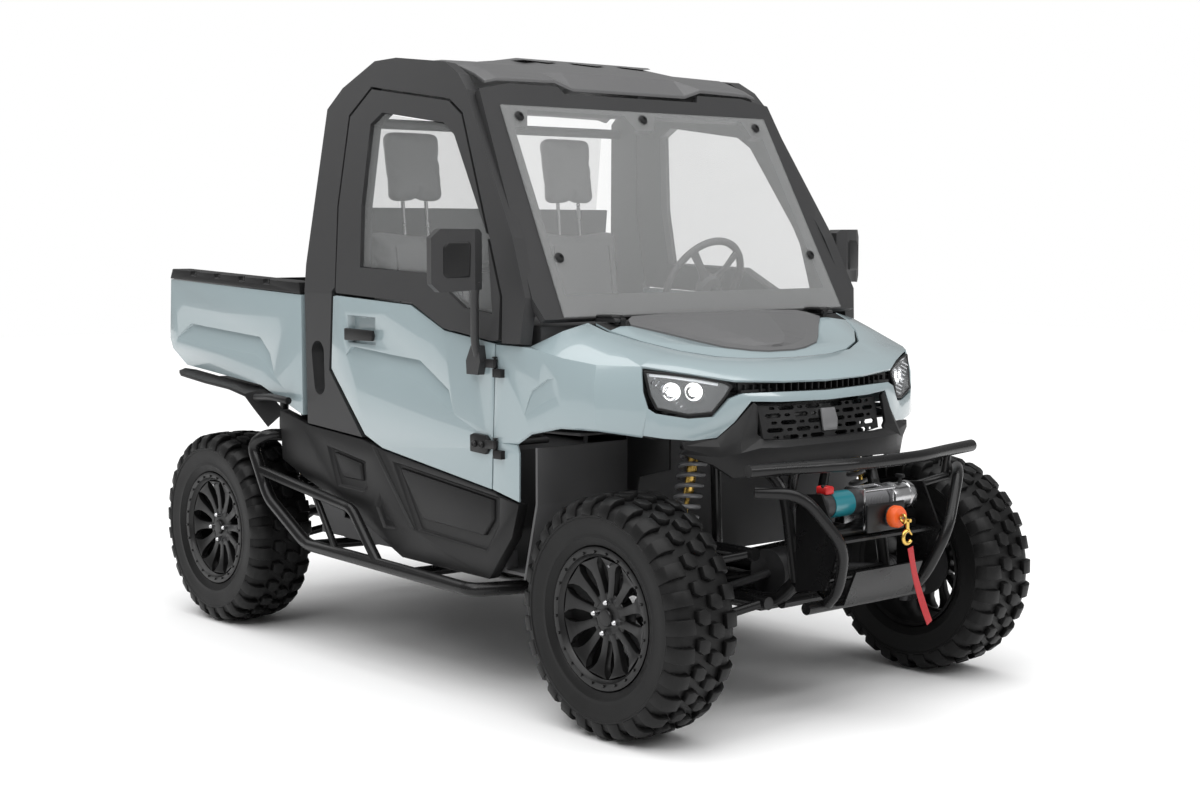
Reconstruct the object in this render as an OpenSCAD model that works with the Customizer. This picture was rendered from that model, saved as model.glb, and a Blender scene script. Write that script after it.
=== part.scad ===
// Side by side utility vehicle with a hard cab and a tilting cargo bed.
// Millimetres. +X forward, +Y left, +Z up. The origin lies on the ground,
// midway between the axles.

/* [Running gear] */
// distance between the axles
wheelbase = 2223; // [2050:1:2450]
// tyre centre to tyre centre across an axle
track_w = 1352; // [1200:1:1480]
// outside diameter of a tyre
tyre_d = 711; // [635:1:762]
// section width of a tyre
tyre_w = 258; // [200:1:290]
// rim diameter at the bead
rim_d = 410; // [330:1:430]
// wall of the rim barrel
rim_t = 6; // [4:0.5:10]
// spokes of a rim
spokes = 12; // [6:1:16]
// radius of a wheel spindle
spindle_r = 16; // [12:0.5:20]
// radial running clearance of a wheel on its spindle
spindle_gap = 0.05; // [0.02:0.01:0.1]

/* [Body] */
// width over the body sides below the belt line
body_w = 1470; // [1380:1:1560]
// height of the tops of the cab hoops above the ground
cab_top = 2035; // [1950:1:2100]
// lean of the cab sides inward above the belt, in degrees
cab_lean = 5.7; // [0:0.1:9]
// thickness of a door and of the hoops beside it
side_t = 45; // [30:1:60]
// thickness of moulded outer panels
panel_t = 6; // [4:0.5:12]
// open gap all round a door, a lid or a gate
shut_gap = 6; // [5:0.5:10]
// thickness of the glazing
glass_t = 6; // [4:0.5:8]
// tubes of the main frame
frame_tube = 44; // [38:1:51]

/* [Cargo bed] */
// outside length of the cargo bed
bed_len = 945; // [860:1:1000]
// depth of the load space
bed_depth = 270; // [220:1:300]
// wall and floor of the bed moulding
bed_t = 8; // [5:0.5:14]

/* [Cabin] */
// diameter of the steering wheel
steer_d = 360; // [320:1:380]
// width of one bucket seat
seat_w = 480; // [400:1:520]
// height of the seat cushion top above the ground
seat_h = 880; // [820:1:920]

/* [Front end] */
// tube of the front bumper
bumper_tube = 38; // [32:1:48]
// tube of the side sliders
slider_tube = 44; // [38:1:50]
// inside of the hitch receiver
receiver_in = 50.8; // [31.75, 50.8]
// radius of the receiver's pin hole
pin_hole_r = 8; // [6:0.5:10]

/* [Hinges] */
// radius of the cargo bed's pivot pins
pivot_r = 10; // [7:0.5:12]
// radius of the hinge pins of the doors, the lid and the tailgate
hinge_pin_r = 4; // [3:0.5:6]
// radial clearance of every pin in its bore
pin_gap = 0.3; // [0.1:0.05:0.5]

/* [Hidden] */
$fn = 48;
ax_f = wheelbase / 2;
ax_r = -wheelbase / 2;
tyre_r = tyre_d / 2;
half = body_w / 2;
ty = track_w / 2;
drive_z = tyre_r + 50;
belt = 1260;
dz = cab_top - 2035;
king_y = ty - 116;
stud_r = 7;
bed_x1 = -545 - (wheelbase - 2223) / 2;
bed_x0 = bed_x1 - bed_len;
hinge_x = 577;
hinge_y = half + 9;
hinge_zs = [1050, 800];
hood_hx = 835;
hood_hz = 1190;
tilt_x = bed_x0 + 110;
tilt_z = 930;
bed_top = 1278;
bed_z = bed_top - bed_depth - bed_t;
gate_z = bed_z + 12;
sw_c = [350, 355, 1280];
sw_tilt = 27.5;

blue = [0.58, 0.70, 0.78];
black = [0.05, 0.05, 0.055];
grey = [0.16, 0.16, 0.17];
clear = [0.85, 0.92, 0.95, 0.3];

// stations along the body stretch with the wheelbase ahead of and behind the cab
function fx(x) = x + (wheelbase - 2223) / 2 * max(0, min(1, (x - 600) / 500));
function rx(x) = x - (wheelbase - 2223) / 2 * max(0, min(1, (-500 - x) / 45));
// heights of the cab above the belt stretch with the cab height
function cz(z) = z + dz * max(0, (z - belt)) / 775;

// ---- helpers ----
// plate lying in X-Z between two Y planes
module plate_xz(pts, y0, y1)
    translate([0, y1, 0]) rotate([90, 0, 0]) linear_extrude(y1 - y0) polygon(pts);

// plate lying in X-Y between two heights
module plate_xy(pts, z0, z1)
    translate([0, 0, z0]) linear_extrude(z1 - z0) polygon(pts);

// plate lying in Y-Z between two X stations
module plate_yz(pts, x0, x1)
    translate([x0, 0, 0]) rotate([90, 0, 90]) linear_extrude(x1 - x0) polygon(pts);

// box from its low corner to its high corner
module box(a, b)
    translate(a) cube(b - a);

// the children on the right and, mirrored, on the left
module both() {
    children();
    mirror([0, 1, 0]) children();
}

// the children on the wanted side: -1 right, 1 left
module on_side(s) {
    if (s < 0) children();
    if (s > 0) mirror([0, 1, 0]) children();
}

// round bar between two points
module rod(p, q, d) {
    v = q - p;
    l = norm(v);
    translate(p) rotate([0, acos(v[2] / l), atan2(v[1], v[0])]) cylinder(h = l, d = d);
}

// panel through a grid of outer points, as thick as the offset
module skin(g, off) {
    m = len(g);
    n = len(g[0]);
    k = m * n;
    p = concat([for (r = g) each r], [for (r = g) each [for (q = r) q + off]]);
    top = [for (i = [0 : m - 2], j = [0 : n - 2]) each
        [[i * n + j, i * n + j + 1, (i + 1) * n + j + 1],
         [i * n + j, (i + 1) * n + j + 1, (i + 1) * n + j]]];
    low = [for (f = top) [k + f[2], k + f[1], k + f[0]]];
    e0 = [for (j = [0 : n - 2]) each [[j, k + j, k + j + 1], [j, k + j + 1, j + 1]]];
    e1 = [for (j = [0 : n - 2]) let (a = (m - 1) * n + j) each
        [[a, k + a + 1, k + a], [a, a + 1, k + a + 1]]];
    e2 = [for (i = [0 : m - 2]) let (a = i * n, b = (i + 1) * n) each
        [[a, k + b, k + a], [a, b, k + b]]];
    e3 = [for (i = [0 : m - 2]) let (a = i * n + n - 1, b = (i + 1) * n + n - 1) each
        [[a, k + a, k + b], [a, k + b, b]]];
    all = concat(top, low, e0, e1, e2, e3);
    good = cross(g[0][1] - g[0][0], g[1][0] - g[0][0]) * off > 0;
    polyhedron(p, good ? all : [for (f = all) [f[2], f[1], f[0]]], convexity = 8);
}

function unit(v) = v / norm(v);

// path with every inner corner rounded off, cut back by r along each leg
function eased(pts, r, k = 5) = [for (i = [0 : len(pts) - 1]) each
    (i == 0 || i == len(pts) - 1) ? [pts[i]] :
    let (a = pts[i - 1] - pts[i], b = pts[i + 1] - pts[i],
        p = pts[i] + unit(a) * min(r, norm(a) * 0.45), q = pts[i] + unit(b) * min(r, norm(b) * 0.45))
    [for (j = [0 : k]) let (t = j / k) (1 - t) * (1 - t) * p + 2 * t * (1 - t) * pts[i] + t * t * q]];

// bent tube of one piece, its bends eased by r
module tube(pts, d, r = 60, n = 16) {
    path = eased(pts, r);
    m = len(path);
    t = [for (i = [0 : m - 1]) unit(path[min(i + 1, m - 1)] - path[max(i - 1, 0)])];
    s0 = abs(t[0][2]) < 0.8 ? [0, 0, 1] : [1, 0, 0];
    u = [for (i = 0, v = unit(s0 - (s0 * t[0]) * t[0]); i < m;
        i = i + 1, v = i < m ? unit(v - (v * t[i]) * t[i]) : v) v];
    pts3 = [for (i = [0 : m - 1], j = [0 : n - 1]) let (a = 360 * j / n, w = cross(t[i], u[i]))
        path[i] + d / 2 * (cos(a) * u[i] + sin(a) * w)];
    side = [for (i = [0 : m - 2], j = [0 : n - 1]) let (b = (j + 1) % n) each
        [[i * n + j, (i + 1) * n + b, i * n + b], [i * n + j, (i + 1) * n + j, (i + 1) * n + b]]];
    polyhedron(pts3, concat(side, [[for (j = [0 : n - 1]) j]],
        [[for (j = [n - 1 : -1 : 0]) (m - 1) * n + j]]), convexity = 8);
}

// tilts a right-hand cab side plate inward about the belt line
module lean()
    translate([0, -half, belt]) rotate([-cab_lean, 0, 0]) translate([0, half, -belt]) children();

// ---- chassis ----
module frame() color(black) {
    both() {
        // lower rails, upswept at both ends
        tube([[fx(1330), -200, 420], [fx(1250), -200, 350], [-1150, -200, 350],
              [rx(-1330), -200, 420]], frame_tube);
        // front tower and upper rail
        tube([[fx(1330), -200, 420], [fx(1280), -200, 700], [fx(1180), -260, 800],
              [780, -300, 893]], 36);
        tube([[fx(1000), -200, 350], [fx(1050), -266, 818]], 32);
        // rear tower and bed support rail
        tube([[rx(-1330), -200, 420], [rx(-1400), -300, 640], [tilt_x, -300, 880],
              [-560, -300, 800]], 36);
        tube([[rx(-1000), -200, 350], [rx(-1050), -300, 840]], 32);
        tube([[-560, -300, 800], [-540, -200, 350]], 32);
        // bed pivot ears
        difference() {
            union() {
                box([tilt_x - 22, -312, 880], [tilt_x + 22, -288, tilt_z]);
                translate([tilt_x, -288, tilt_z]) rotate([90, 0, 0]) cylinder(r = 22, h = 24);
            }
            translate([tilt_x, -280, tilt_z]) rotate([90, 0, 0])
                cylinder(r = pivot_r + pin_gap, h = 40);
        }
    }
    for (x = [fx(1270), 900, 560, 0, -560, -1000]) tube([[x, -200, 350], [x, 200, 350]], 36);
    tube([[fx(1180), -260, 800], [fx(1180), 260, 800]], 32);
    tube([[fx(1330), -200, 420], [fx(1330), 200, 420]], 32);
    tube([[rx(-1330), -200, 420], [rx(-1330), 200, 420]], 36);
    tube([[tilt_x, -300, 880], [tilt_x, 300, 880]], 32);
    tube([[-560, -300, 800], [-560, 300, 800]], 32);
    tube([[780, -300, 893], [780, 300, 893]], 32);
    // belly plate
    box([-900, -215, 316], [1200, 215, 324]);
    // rear guard
    tube([[rx(-1345), -200, 430], [rx(-1470), -190, 470], [rx(-1480), 0, 475],
        [rx(-1470), 190, 470], [rx(-1345), 200, 430]], 32, 60);
    // hitch receiver
    difference() {
        box([rx(-1570), -receiver_in / 2 - 6, 420 - receiver_in / 2 - 6],
            [rx(-1345), receiver_in / 2 + 6, 420 + receiver_in / 2 + 6]);
        box([rx(-1580), -receiver_in / 2, 420 - receiver_in / 2],
            [rx(-1400), receiver_in / 2, 420 + receiver_in / 2]);
        translate([rx(-1500), 0, 420]) rotate([90, 0, 0])
            cylinder(r = pin_hole_r, h = 120, center = true);
    }
}

module engine() color([0.3, 0.3, 0.31])
    box([-900, -175, 372], [-590, 175, 770]);

module driveline() color([0.22, 0.22, 0.23]) {
    // final drives
    translate([ax_f, 0, drive_z]) rotate([90, 0, 0]) cylinder(d = 150, h = 190, center = true);
    translate([ax_r, 0, drive_z]) rotate([90, 0, 0]) cylinder(d = 160, h = 220, center = true);
    // propeller shafts, above the belly plate and below the floor
    rod([ax_f - 50, 60, 385], [-590, 60, 385], 24);
    rod([ax_r + 40, 30, 430], [-900, 30, 430], 40);
    both() {
        // half shafts and their boots
        rod([ax_f, -90, drive_z], [ax_f, -king_y + 76, tyre_r], 26);
        translate([ax_f, -king_y + 130, tyre_r]) rotate([90, 0, 0])
            cylinder(d1 = 62, d2 = 84, h = 62);
        rod([ax_r, -100, drive_z], [ax_r, -king_y + 58, tyre_r], 28);
        translate([ax_r, -king_y + 122, tyre_r]) rotate([90, 0, 0])
            cylinder(d1 = 62, d2 = 84, h = 62);
    }
}

// wishbone from two frame pivots to one outer joint
module wishbone(ax, in_y, in_z, out, span, d) {
    rod([ax - span, in_y, in_z], out, d);
    rod([ax + span, in_y, in_z], out, d);
    rod([ax - span - 22, in_y, in_z], [ax + span + 22, in_y, in_z], d + 12);
    rod((0.45 * [ax - span, in_y, in_z] + 0.55 * out), (0.45 * [ax + span, in_y, in_z] + 0.55 * out), d);
    translate([out[0], out[1], out[2] - 11]) cylinder(d = d + 8, h = 22);
}

module arms() color(black) {
    both() {
        wishbone(ax_f, -246, 352, [ax_f, -king_y, tyre_r - 84], 130, 28);
        wishbone(ax_f, -278, 500, [ax_f, -king_y, tyre_r + 109], 105, 26);
        // ball studs that carry the steering knuckle
        translate([ax_f, -king_y, tyre_r - 117]) cylinder(r = stud_r, h = 24);
        translate([ax_f, -king_y, tyre_r + 118]) cylinder(r = stud_r, h = 24);
        wishbone(ax_r, -246, 352, [ax_r, -king_y + 10, tyre_r - 85], 150, 30);
        wishbone(ax_r, -284, 500, [ax_r, -king_y + 24, tyre_r + 110], 120, 28);
        // ears that hold the coil-overs
        for (q = [[ax_f - 40, -433], [ax_r + 46, -431]], e = [-21, 15])
            box([q[0] + e, q[1] - 22, 474], [q[0] + e + 6, q[1] + 22, 524]);
        // rear hub carrier with its spindle
        difference() {
            box([ax_r - 48, -king_y - 12, tyre_r - 95], [ax_r + 48, -king_y + 40, tyre_r + 120]);
            box([ax_r - 30, -king_y + 2, tyre_r + 60], [ax_r + 30, -king_y + 50, tyre_r + 100]);
        }
        rod([ax_r, -king_y, tyre_r], [ax_r, -king_y - 50, tyre_r], 96);
        rod([ax_r, -king_y, tyre_r], [ax_r, -ty - 26, tyre_r], 2 * spindle_r);
    }
}

// coil-over between two points
module coil_over(p, q, d) {
    v = q - p;
    l = norm(v);
    translate(p) rotate([0, acos(v[2] / l), atan2(v[1], v[0])]) {
        cylinder(d = 18, h = l);
        translate([0, 0, l * 0.42]) cylinder(d = d * 0.62, h = l * 0.50);
        translate([0, 0, l * 0.90]) cylinder(d = d + 2, h = 10);
        translate([0, 0, l * 0.12]) cylinder(d = d + 2, h = 8);
        for (i = [0 : 8]) translate([0, 0, l * (0.17 + 0.085 * i)])
            rotate_extrude() translate([d / 2 - 6, 0]) circle(d = 12, $fn = 20);
    }
}

module shocks() color([0.45, 0.46, 0.48]) both() {
    coil_over([ax_f - 40, -433, 506], [ax_f - 66, -336, 850], 90);
    coil_over([ax_r + 46, -431, 506], [ax_r + 118, -352, 862], 90);
}

// ---- cab ----
module cab_floor() color(black) {
    difference() {
        union() {
            box([-360, -half + 45, 402], [692, half - 45, 412]);
            // toe board and dash panel
            plate_xz([[690, 402], [700, 402], [760, 640], [760, 812], [750, 812], [750, 642]],
                -half + 10, half - 10);
            box([750, -360, 812], [760, 360, 1100]);
            // seat box
            box([-500, -half + 45, 404], [-355, half - 45, 700]);
            plate_xz([[-360, 404], [-40, 404], [-70, 690], [-360, 700]], -half + 90, half - 90);
            // bulkhead behind the seats
            box([-500, -half + 60, 690], [-490, half - 60, 1306]);
            // side sills
            both() box([-360, -half + 45, 402], [560, -half + 90, 470]);
        }
        box([-480, -half + 60, 420], [-375, half - 60, 690]);
        box([-350, -half + 110, 420], [-90, half - 110, 680]);
    }
}

hoop_out = [[-512, 792], [-523, 1347], [-457, 1884], [-370, 1952], [-185, 2032], [-60, 2035],
    [215, 2004], [292, 1962], [343, 1908], [632, 1443], [716, 1262], [707, 1122], [618, 1121]];
door_in = [[-356, 1250], [-330, 1272], [-350, 1549], [-318, 1857], [-194, 1947], [256, 1884],
    [333, 1835], [604, 1262], [618, 1121]];

module hoop_side() {
    // upper hoop
    lean() plate_xz([for (p = concat([[-521, 1250]], [for (i = [1 : 12]) hoop_out[i]],
        [for (i = [8 : -1 : 0]) door_in[i]])) [p[0], cz(p[1])]], -half, -half + side_t);
    // foot of the rear pillar with its oval window
    difference() {
        plate_xz([[-512, 792], [-521, 1262], [-347, 1262], [-370, 985], [-172, 770]],
            -half, -half + side_t);
        translate([-432, 0, 0]) rotate([90, 0, 0]) linear_extrude(body_w)
            hull() {
                translate([0, 930]) circle(d = 66);
                translate([-10, 1045]) circle(d = 78);
            }
    }
}

// the children set up in the plane of the windscreen, Z up along it
module on_screen()
    translate([769, 0, 1190]) rotate([0, -28.1, 0]) children();

// height along the windscreen of a height above the ground
function sc(z) = (cz(z) - 1190) / cos(28.1);

module cab_frame() color(grey) {
    both() hoop_side();
    // surround of the windscreen: pillars, cowl band and brow with its bolt lobes
    on_screen() difference() {
        plate_yz([[-690, sc(1200)], [690, sc(1200)], [712, sc(1262)], [645, sc(1912)],
            [520, sc(1934)], [310, sc(1934)], [296, sc(1910)], [-296, sc(1910)], [-320, sc(1934)],
            [-520, sc(1934)], [-645, sc(1912)], [-712, sc(1262)]], -34, -10);
        plate_yz(concat(brow_r, [for (i = [5 : -1 : 0]) [-brow_r[i][0], brow_r[i][1]]]), -60, 10);
    }
    // rear header and waist rail
    rod([-424, -640, cz(1838)], [-424, 640, cz(1838)], 36);
    rod([-494, -680, 1330], [-494, 680, 1330], 40);
    // arms and pins of the lid's hinges
    both() {
        box([748, -488, hood_hz - 6], [hood_hx, -465, hood_hz + 6]);
        translate([hood_hx, -465, hood_hz]) rotate([90, 0, 0]) cylinder(r = 7, h = 23);
        translate([hood_hx, -443, hood_hz]) rotate([90, 0, 0]) cylinder(r = hinge_pin_r, h = 24);
    }
}

brow_r = [[38, sc(1800)], [70, sc(1848)], [478, sc(1850)], [502, sc(1796)], [556, sc(1790)],
    [578, sc(1272)]];

module roof() color(grey) {
    // stations: x, centre height, shoulder height, edge height
    st = [[-462, 1906, 1902, 1892], [-370, 1962, 1955, 1946], [-185, 2034, 2026, 2016],
        [60, 2035, 2022, 2012], [215, 2014, 2002, 1992], [300, 1984, 1972, 1962],
        [370, 1926, 1946, 1936]];
    g = [for (q = st) [for (y = [-606, -560, -330, -250, 250, 330, 560, 606]) [
        q[0] - (q[0] > 340 ? abs(y) * 0.03 : 0), y * half / 735,
        cz(abs(y) > 600 ? q[3] : abs(y) > 500 ? q[2] : abs(y) > 300 ? q[2] + 4 :
            q[1] + (q[0] > -300 && q[0] < 200 ? 12 : 0))]]];
    skin(g, [0, 0, -12]);
}

module cab_glass() color(clear) {
    // windscreen
    on_screen() plate_yz([[-618, sc(1203)], [618, sc(1203)], [588, sc(1858)], [-588, sc(1858)]],
        -glass_t, 0);
    // rear window
    translate([-515, 0, 1352]) rotate([0, 6.4, 0]) box([0, -575, 4], [glass_t, 575, cz(1842) - 1352]);
}

// ---- front end ----
module front_fenders() color(blue) {
    both() {
        // skin from the lid seam over the shoulder to the wheel arch
        g = [
            [[575, -half + 62, 1117], [574, -half + 30, 1114], [572 + shut_gap - 6, -half, 1115],
                [567 + shut_gap - 6, -half, 1010], [562 + shut_gap - 6, -half, 900],
                [559 + shut_gap - 6, -half, 812]],
            [[705, -half + 62, 1117], [705, -half + 30, 1114], [706, -half, 1114], [700, -half, 1010],
                [692, -half, 910], [674, -half, 822]],
            [[fx(796), -556, 1184], [fx(790), -650, 1162], [fx(786), -half + 3, 1106],
             [fx(780), -half, 1010], [fx(768), -half, 930], [fx(740), -half, 858]],
            [[fx(862), -541, 1160], [fx(870), -640, 1136], [fx(876), -half + 14, 1088],
             [fx(880), -half + 2, 1005], [fx(880), -half, 945], [fx(878), -half, 886]],
            [[fx(950), -487, 1132], [fx(970), -600, 1112], [fx(985), -half + 50, 1072],
             [fx(996), -half + 30, 1000], [fx(1002), -half + 32, 945], [fx(1005), -half + 34, 886]],
            [[fx(1036), -402, 1103], [fx(1052), -520, 1092], [fx(1076), -592, 1068],
             [fx(1090), -600, 1000], [fx(1102), -590, 948], [fx(1092), -606, 868]]];
        skin(g, [0, 5, -panel_t]);
        // leg behind the arch, down to the side panel
        plate_xz([[559 + shut_gap - 6, 814], [674, 814], [684, 790], [683, 641],
            [553 + shut_gap - 6, 667]], -half, -half + panel_t);
        // fixed halves of the door hinges with their pins
        for (z = hinge_zs) {
            box([hinge_x, -hinge_y - 7, z - 34], [614, -half + 1, z - 8]);
            translate([hinge_x, -hinge_y, z - 34]) cylinder(r = 8, h = 26);
            translate([hinge_x, -hinge_y, z - 10]) cylinder(r = hinge_pin_r, h = 34);
        }
        // top of the nose ahead of the lid, down to the lip above the lamps
        n = [
            [[fx(1036), -402, 1103], [fx(1052), -520, 1092], [fx(1076), -592, 1070]],
            [[fx(1090), -297, 1084], [fx(1137), -390, 1064], [fx(1150), -455, 1044]],
            [[fx(1115), -193, 1078], [fx(1180), -250, 1056], [fx(1218), -349, 1024]],
            [[fx(1124), -92, 1075], [fx(1192), -130, 1054], [fx(1254), -180, 1016]],
            [[fx(1125), 0, 1074], [fx(1196), 0, 1053], [fx(1264), 0, 1012]]];
        skin(n, [-4, 0, -panel_t]);
        // band under the lamp, and the lip below the nose slit
        b = [
            [[fx(1102), -590, 948], [fx(1098), -600, 868]],
            [[fx(1116), -570, 932], [fx(1130), -548, 858]],
            [[fx(1158), -478, 914], [fx(1168), -470, 850]],
            [[fx(1196), -410, 918], [fx(1196), -400, 856]],
            [[fx(1216), -365, 970], [fx(1218), -350, 900]],
            [[fx(1228), -325, 984], [fx(1238), -300, 960]],
            [[fx(1250), -200, 983], [fx(1258), -195, 954]],
            [[fx(1264), 0, 979], [fx(1272), 0, 951]]];
        skin(b, [-12, 0, 0]);
    }
}

module front_fascia() color(black) {
    both() {
        // bar of the fascia round the grille and out to the arch
        g = [
            [[fx(1272), 0, 946], [fx(1300), 0, 838], [fx(1322), 0, 826], [fx(1318), 0, 772]],
            [[fx(1258), -200, 950], [fx(1282), -215, 838], [fx(1306), -222, 824], [fx(1298), -232, 768]],
            [[fx(1240), -292, 956], [fx(1256), -276, 850], [fx(1284), -306, 826], [fx(1268), -320, 742]],
            [[fx(1222), -345, 900], [fx(1244), -346, 850], [fx(1256), -360, 812], [fx(1238), -372, 738]],
            [[fx(1194), -400, 852], [fx(1212), -402, 830], [fx(1216), -412, 800], [fx(1204), -424, 778]],
            [[fx(1160), -500, 848], [fx(1164), -496, 836], [fx(1166), -494, 826], [fx(1150), -500, 812]]];
        difference() {
            skin(g, [-12, 0, 0]);
            // opening in front of the grille
            translate([fx(1290), 0, 0]) plate_yz([[-300, 965], [-276, 944], [-288, 864],
                [-268, 843], [10, 841], [10, 965]], -90, 50);
        }
        // liner over the wheel and its inner wall
        plate_xz([[764, 868], [fx(960), 872], [fx(960), 864], [764, 860]], -half + 12, -372);
        plate_xz([[fx(960), 872], [fx(1092), 862], [fx(1092), 854], [fx(960), 864]], -560, -372);
        plate_xz([[768, 500], [fx(820), 700], [fx(960), 735], [fx(960), 864], [768, 864]],
            -372, -364);
    }
    // shelf behind the nose slit
    box([fx(1130), -330, 985], [fx(1226), 330, 993]);
}

module grille() color([0.08, 0.08, 0.085]) {
    g = [[[fx(1240), -262, 942], [fx(1262), -258, 846]], [[fx(1262), -130, 940], [fx(1290), -130, 836]],
        [[fx(1270), 0, 938], [fx(1297), 0, 832]], [[fx(1262), 130, 940], [fx(1290), 130, 836]],
        [[fx(1240), 262, 942], [fx(1262), 258, 846]]];
    skin([for (r = g) [for (q = r) q - [14, 0, 0]]], [-8, 0, 0]);
}

module headlamps() color([0.8, 0.85, 0.9]) both()
    skin([
        [[fx(1083), -586, 1052], [fx(1114), -570, 944]],
        [[fx(1112), -520, 1044], [fx(1154), -478, 925]],
        [[fx(1156), -440, 1031], [fx(1190), -412, 929]],
        [[fx(1196), -372, 1014], [fx(1214), -362, 984]],
        [[fx(1214), -353, 1008], [fx(1217), -354, 1000]]], [-50, 10, 0]);

// half outlines of the lid and of its insert, from the rear to the middle of the front
lid = [[812, 543], [868, 534], [950, 481], [1030, 396], [1082, 292], [1108, 190], [1117, 90]];
insert = [[806, 402], [842, 425], [905, 350], [985, 262], [1030, 205], [1062, 120], [1074, 60]];

// height of the lid skin at a point
function lid_z(x, y) = 1475 - 0.36 * x;

// one lid strip between an outer and an inner half outline, mirrored across
module lid_strip(outer, inner, up, t) {
    g = [for (i = [0 : 6]) [for (q = [outer[i], inner[i]]) [fx(q[0]), q[1], lid_z(q[0], q[1]) + up]]];
    both() skin(concat([for (r = g) [for (q = r) [q[0], -q[1], q[2]]]],
        [[for (q = [outer[6], inner[6]]) [fx(q[0]), 0, lid_z(q[0], 0) + up]]]), [0, 0, -t]);
}

module hood_panel() color(blue)
    union() {
        lid_strip([for (p = lid) p - [0, shut_gap - 1]], insert, 0, panel_t);
        // eyes of the hinges
        both() difference() {
            union() {
                translate([hood_hx, -443, hood_hz]) rotate([90, 0, 0]) cylinder(r = 8, h = 20);
                box([hood_hx - 5, -463, 1170], [hood_hx + 5, -443, hood_hz]);
            }
            translate([hood_hx, -440, hood_hz]) rotate([90, 0, 0])
                cylinder(r = hinge_pin_r + pin_gap, h = 26);
        }
    }

module hood_insert() color(grey) {
    mid = [for (p = insert) [p[0] - 22, p[1] - 34]];
    lid_strip(insert, mid, 6, 14);
    // raised plateau of the insert
    g = [for (i = [0 : 6]) [for (k = [-1, -0.5, 0, 0.5, 1]) let (q = mid[i])
        [fx(q[0]), q[1] * k, lid_z(q[0], q[1] * k) + 6
            + (abs(k) < 0.9 ? 12 - (i == 0 ? 6 : 0) - (i > 4 ? 4 : 0) : 0)]]];
    skin(g, [0, 0, -12]);
}

module side_panels() color(black) both() {
    plate_xz([[-700, 826], [-560, 797], [-512, 786], [-172, 762], [-46, 736],
        [560, 660], [572, 654], [678, 632], [646, 527], [529, 383], [58, 390], [-386, 566],
        [-419, 563], [-540, 596], [-687, 650]], -half, -half + 40);
}

module rear_fenders() color(black) both() {
    // flare below the bed side
    g = [
        [[rx(-1372), -half - 10, 940], [rx(-1368), -half - 38, 932]],
        [[rx(-1340), -half + 20, 934], [rx(-1345), -half - 44, 922]],
        [[rx(-1150), -half + 20, 918], [rx(-1160), -half - 46, 905]],
        [[rx(-960), -half + 20, 904], [rx(-985), -half - 42, 892]],
        [[-830, -half + 20, 894], [-885, -half - 34, 872]],
        [[-775, -half + 20, 862], [-845, -half - 20, 828]],
        [[-706, -half + 20, 822], [-782, -half, 766]]];
    skin(g, [0, 0, -10]);
    // arch liner
    plate_xz([[-506, 600], [-576, 770], [-650, 862], [rx(-1330), 905], [rx(-1330), 897], [-658, 852],
        [-586, 764], [-516, 600]], -half + 42, -330);
    // bed release lever
    tube([[-838, -half - 14, 862], [-700, -half - 28, 872], [-590, -half - 30, 866]], 26, 30);
    rod([-820, -half + 20, 850], [-830, -half - 16, 862], 20);
}

module sliders() color(black) both() {
    y = -half - 45;
    tube([[-690, -560, 720], [-745, y + 10, 735], [-818, y, 690], [-766, y, 608], [-708, y, 511],
        [-458, y, 374], [500, y, 350], [572, -620, 352], [630, -225, 352]], slider_tube, 40);
    tube([[-766, y, 608], [-170, y, 531], [-18, y, 368]], slider_tube - 8, 30);
    tube([[-270, y, 378], [-405, y, 558]], slider_tube - 20);
    tube([[-430, y + 6, 374], [-430, -225, 352]], slider_tube - 8);
    tube([[180, y + 6, 360], [180, -225, 352]], slider_tube - 8);
}

module bumper() color(black) {
    x = fx(1517);
    // top tube, free at both ends
    tube([[x - 92, -500, 786], [x - 55, -328, 786], [x - 10, -170, 786], [x, 0, 786],
        [x - 10, 170, 786], [x - 55, 328, 786], [x - 92, 500, 786]], bumper_tube, 70);
    both() {
        // side hoops in front of the winch
        tube([[x - 112, -455, 720], [x - 24, -352, 716], [x + 34, -232, 556],
            [x - 20, -196, 420], [x - 70, -190, 372]], bumper_tube - 4, 60);
        tube([[x - 60, -345, 786], [x - 75, -345, 700]], 26);
        // gusset plates back to the frame
        translate([0, -228, 0]) plate_xz([[fx(1358), 690], [x - 60, 700], [x + 10, 560], [x - 40, 420],
            [fx(1358), 400]], -4, 4);
        tube([[x - 60, -345, 708], [fx(1330), -214, 650]], 26);
    }
    tube([[x - 90, -260, 362], [x - 90, 260, 362]], bumper_tube - 2);
    // winch tray, skid and cross plate
    box([fx(1358), -228, 556], [x - 10, 228, 564]);
    plate_xz([[fx(1356), 398], [x - 96, 352], [x - 40, 366], [x + 6, 470], [x - 2, 472], [x - 46, 376],
        [x - 96, 362], [fx(1358), 406]], -150, 150);
}

module winch() color([0.12, 0.12, 0.13]) {
    x = fx(1430);
    rod([x, -215, 660], [x, -55, 660], 78);
    rod([x, -55, 660], [x, 80, 660], 46);
    rod([x, 80, 660], [x, 190, 660], 88);
    box([x - 36, -205, 564], [x + 36, 185, 616]);
    // fairlead and its stopper
    box([x + 66, -85, 572], [x + 78, 85, 660]);
    rod([x + 78, 20, 618], [x + 112, 20, 618], 66);
    // hook
    rod([x + 112, 20, 618], [x + 136, 20, 616], 20);
    rod([x + 136, 20, 624], [x + 140, 20, 578], 14);
    translate([x + 140, 20, 560]) rotate([90, 0, 0])
        rotate_extrude() translate([18, 0]) circle(d = 13, $fn = 20);
}

module pull_strap() color([0.75, 0.1, 0.1])
    translate([fx(1430) + 140, 20, 0]) plate_yz([[-6, 535], [19, 529], [32, 482], [62, 402],
        [130, 299], [107, 285], [38, 391], [7, 473]], -1.5, 1.5);

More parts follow.
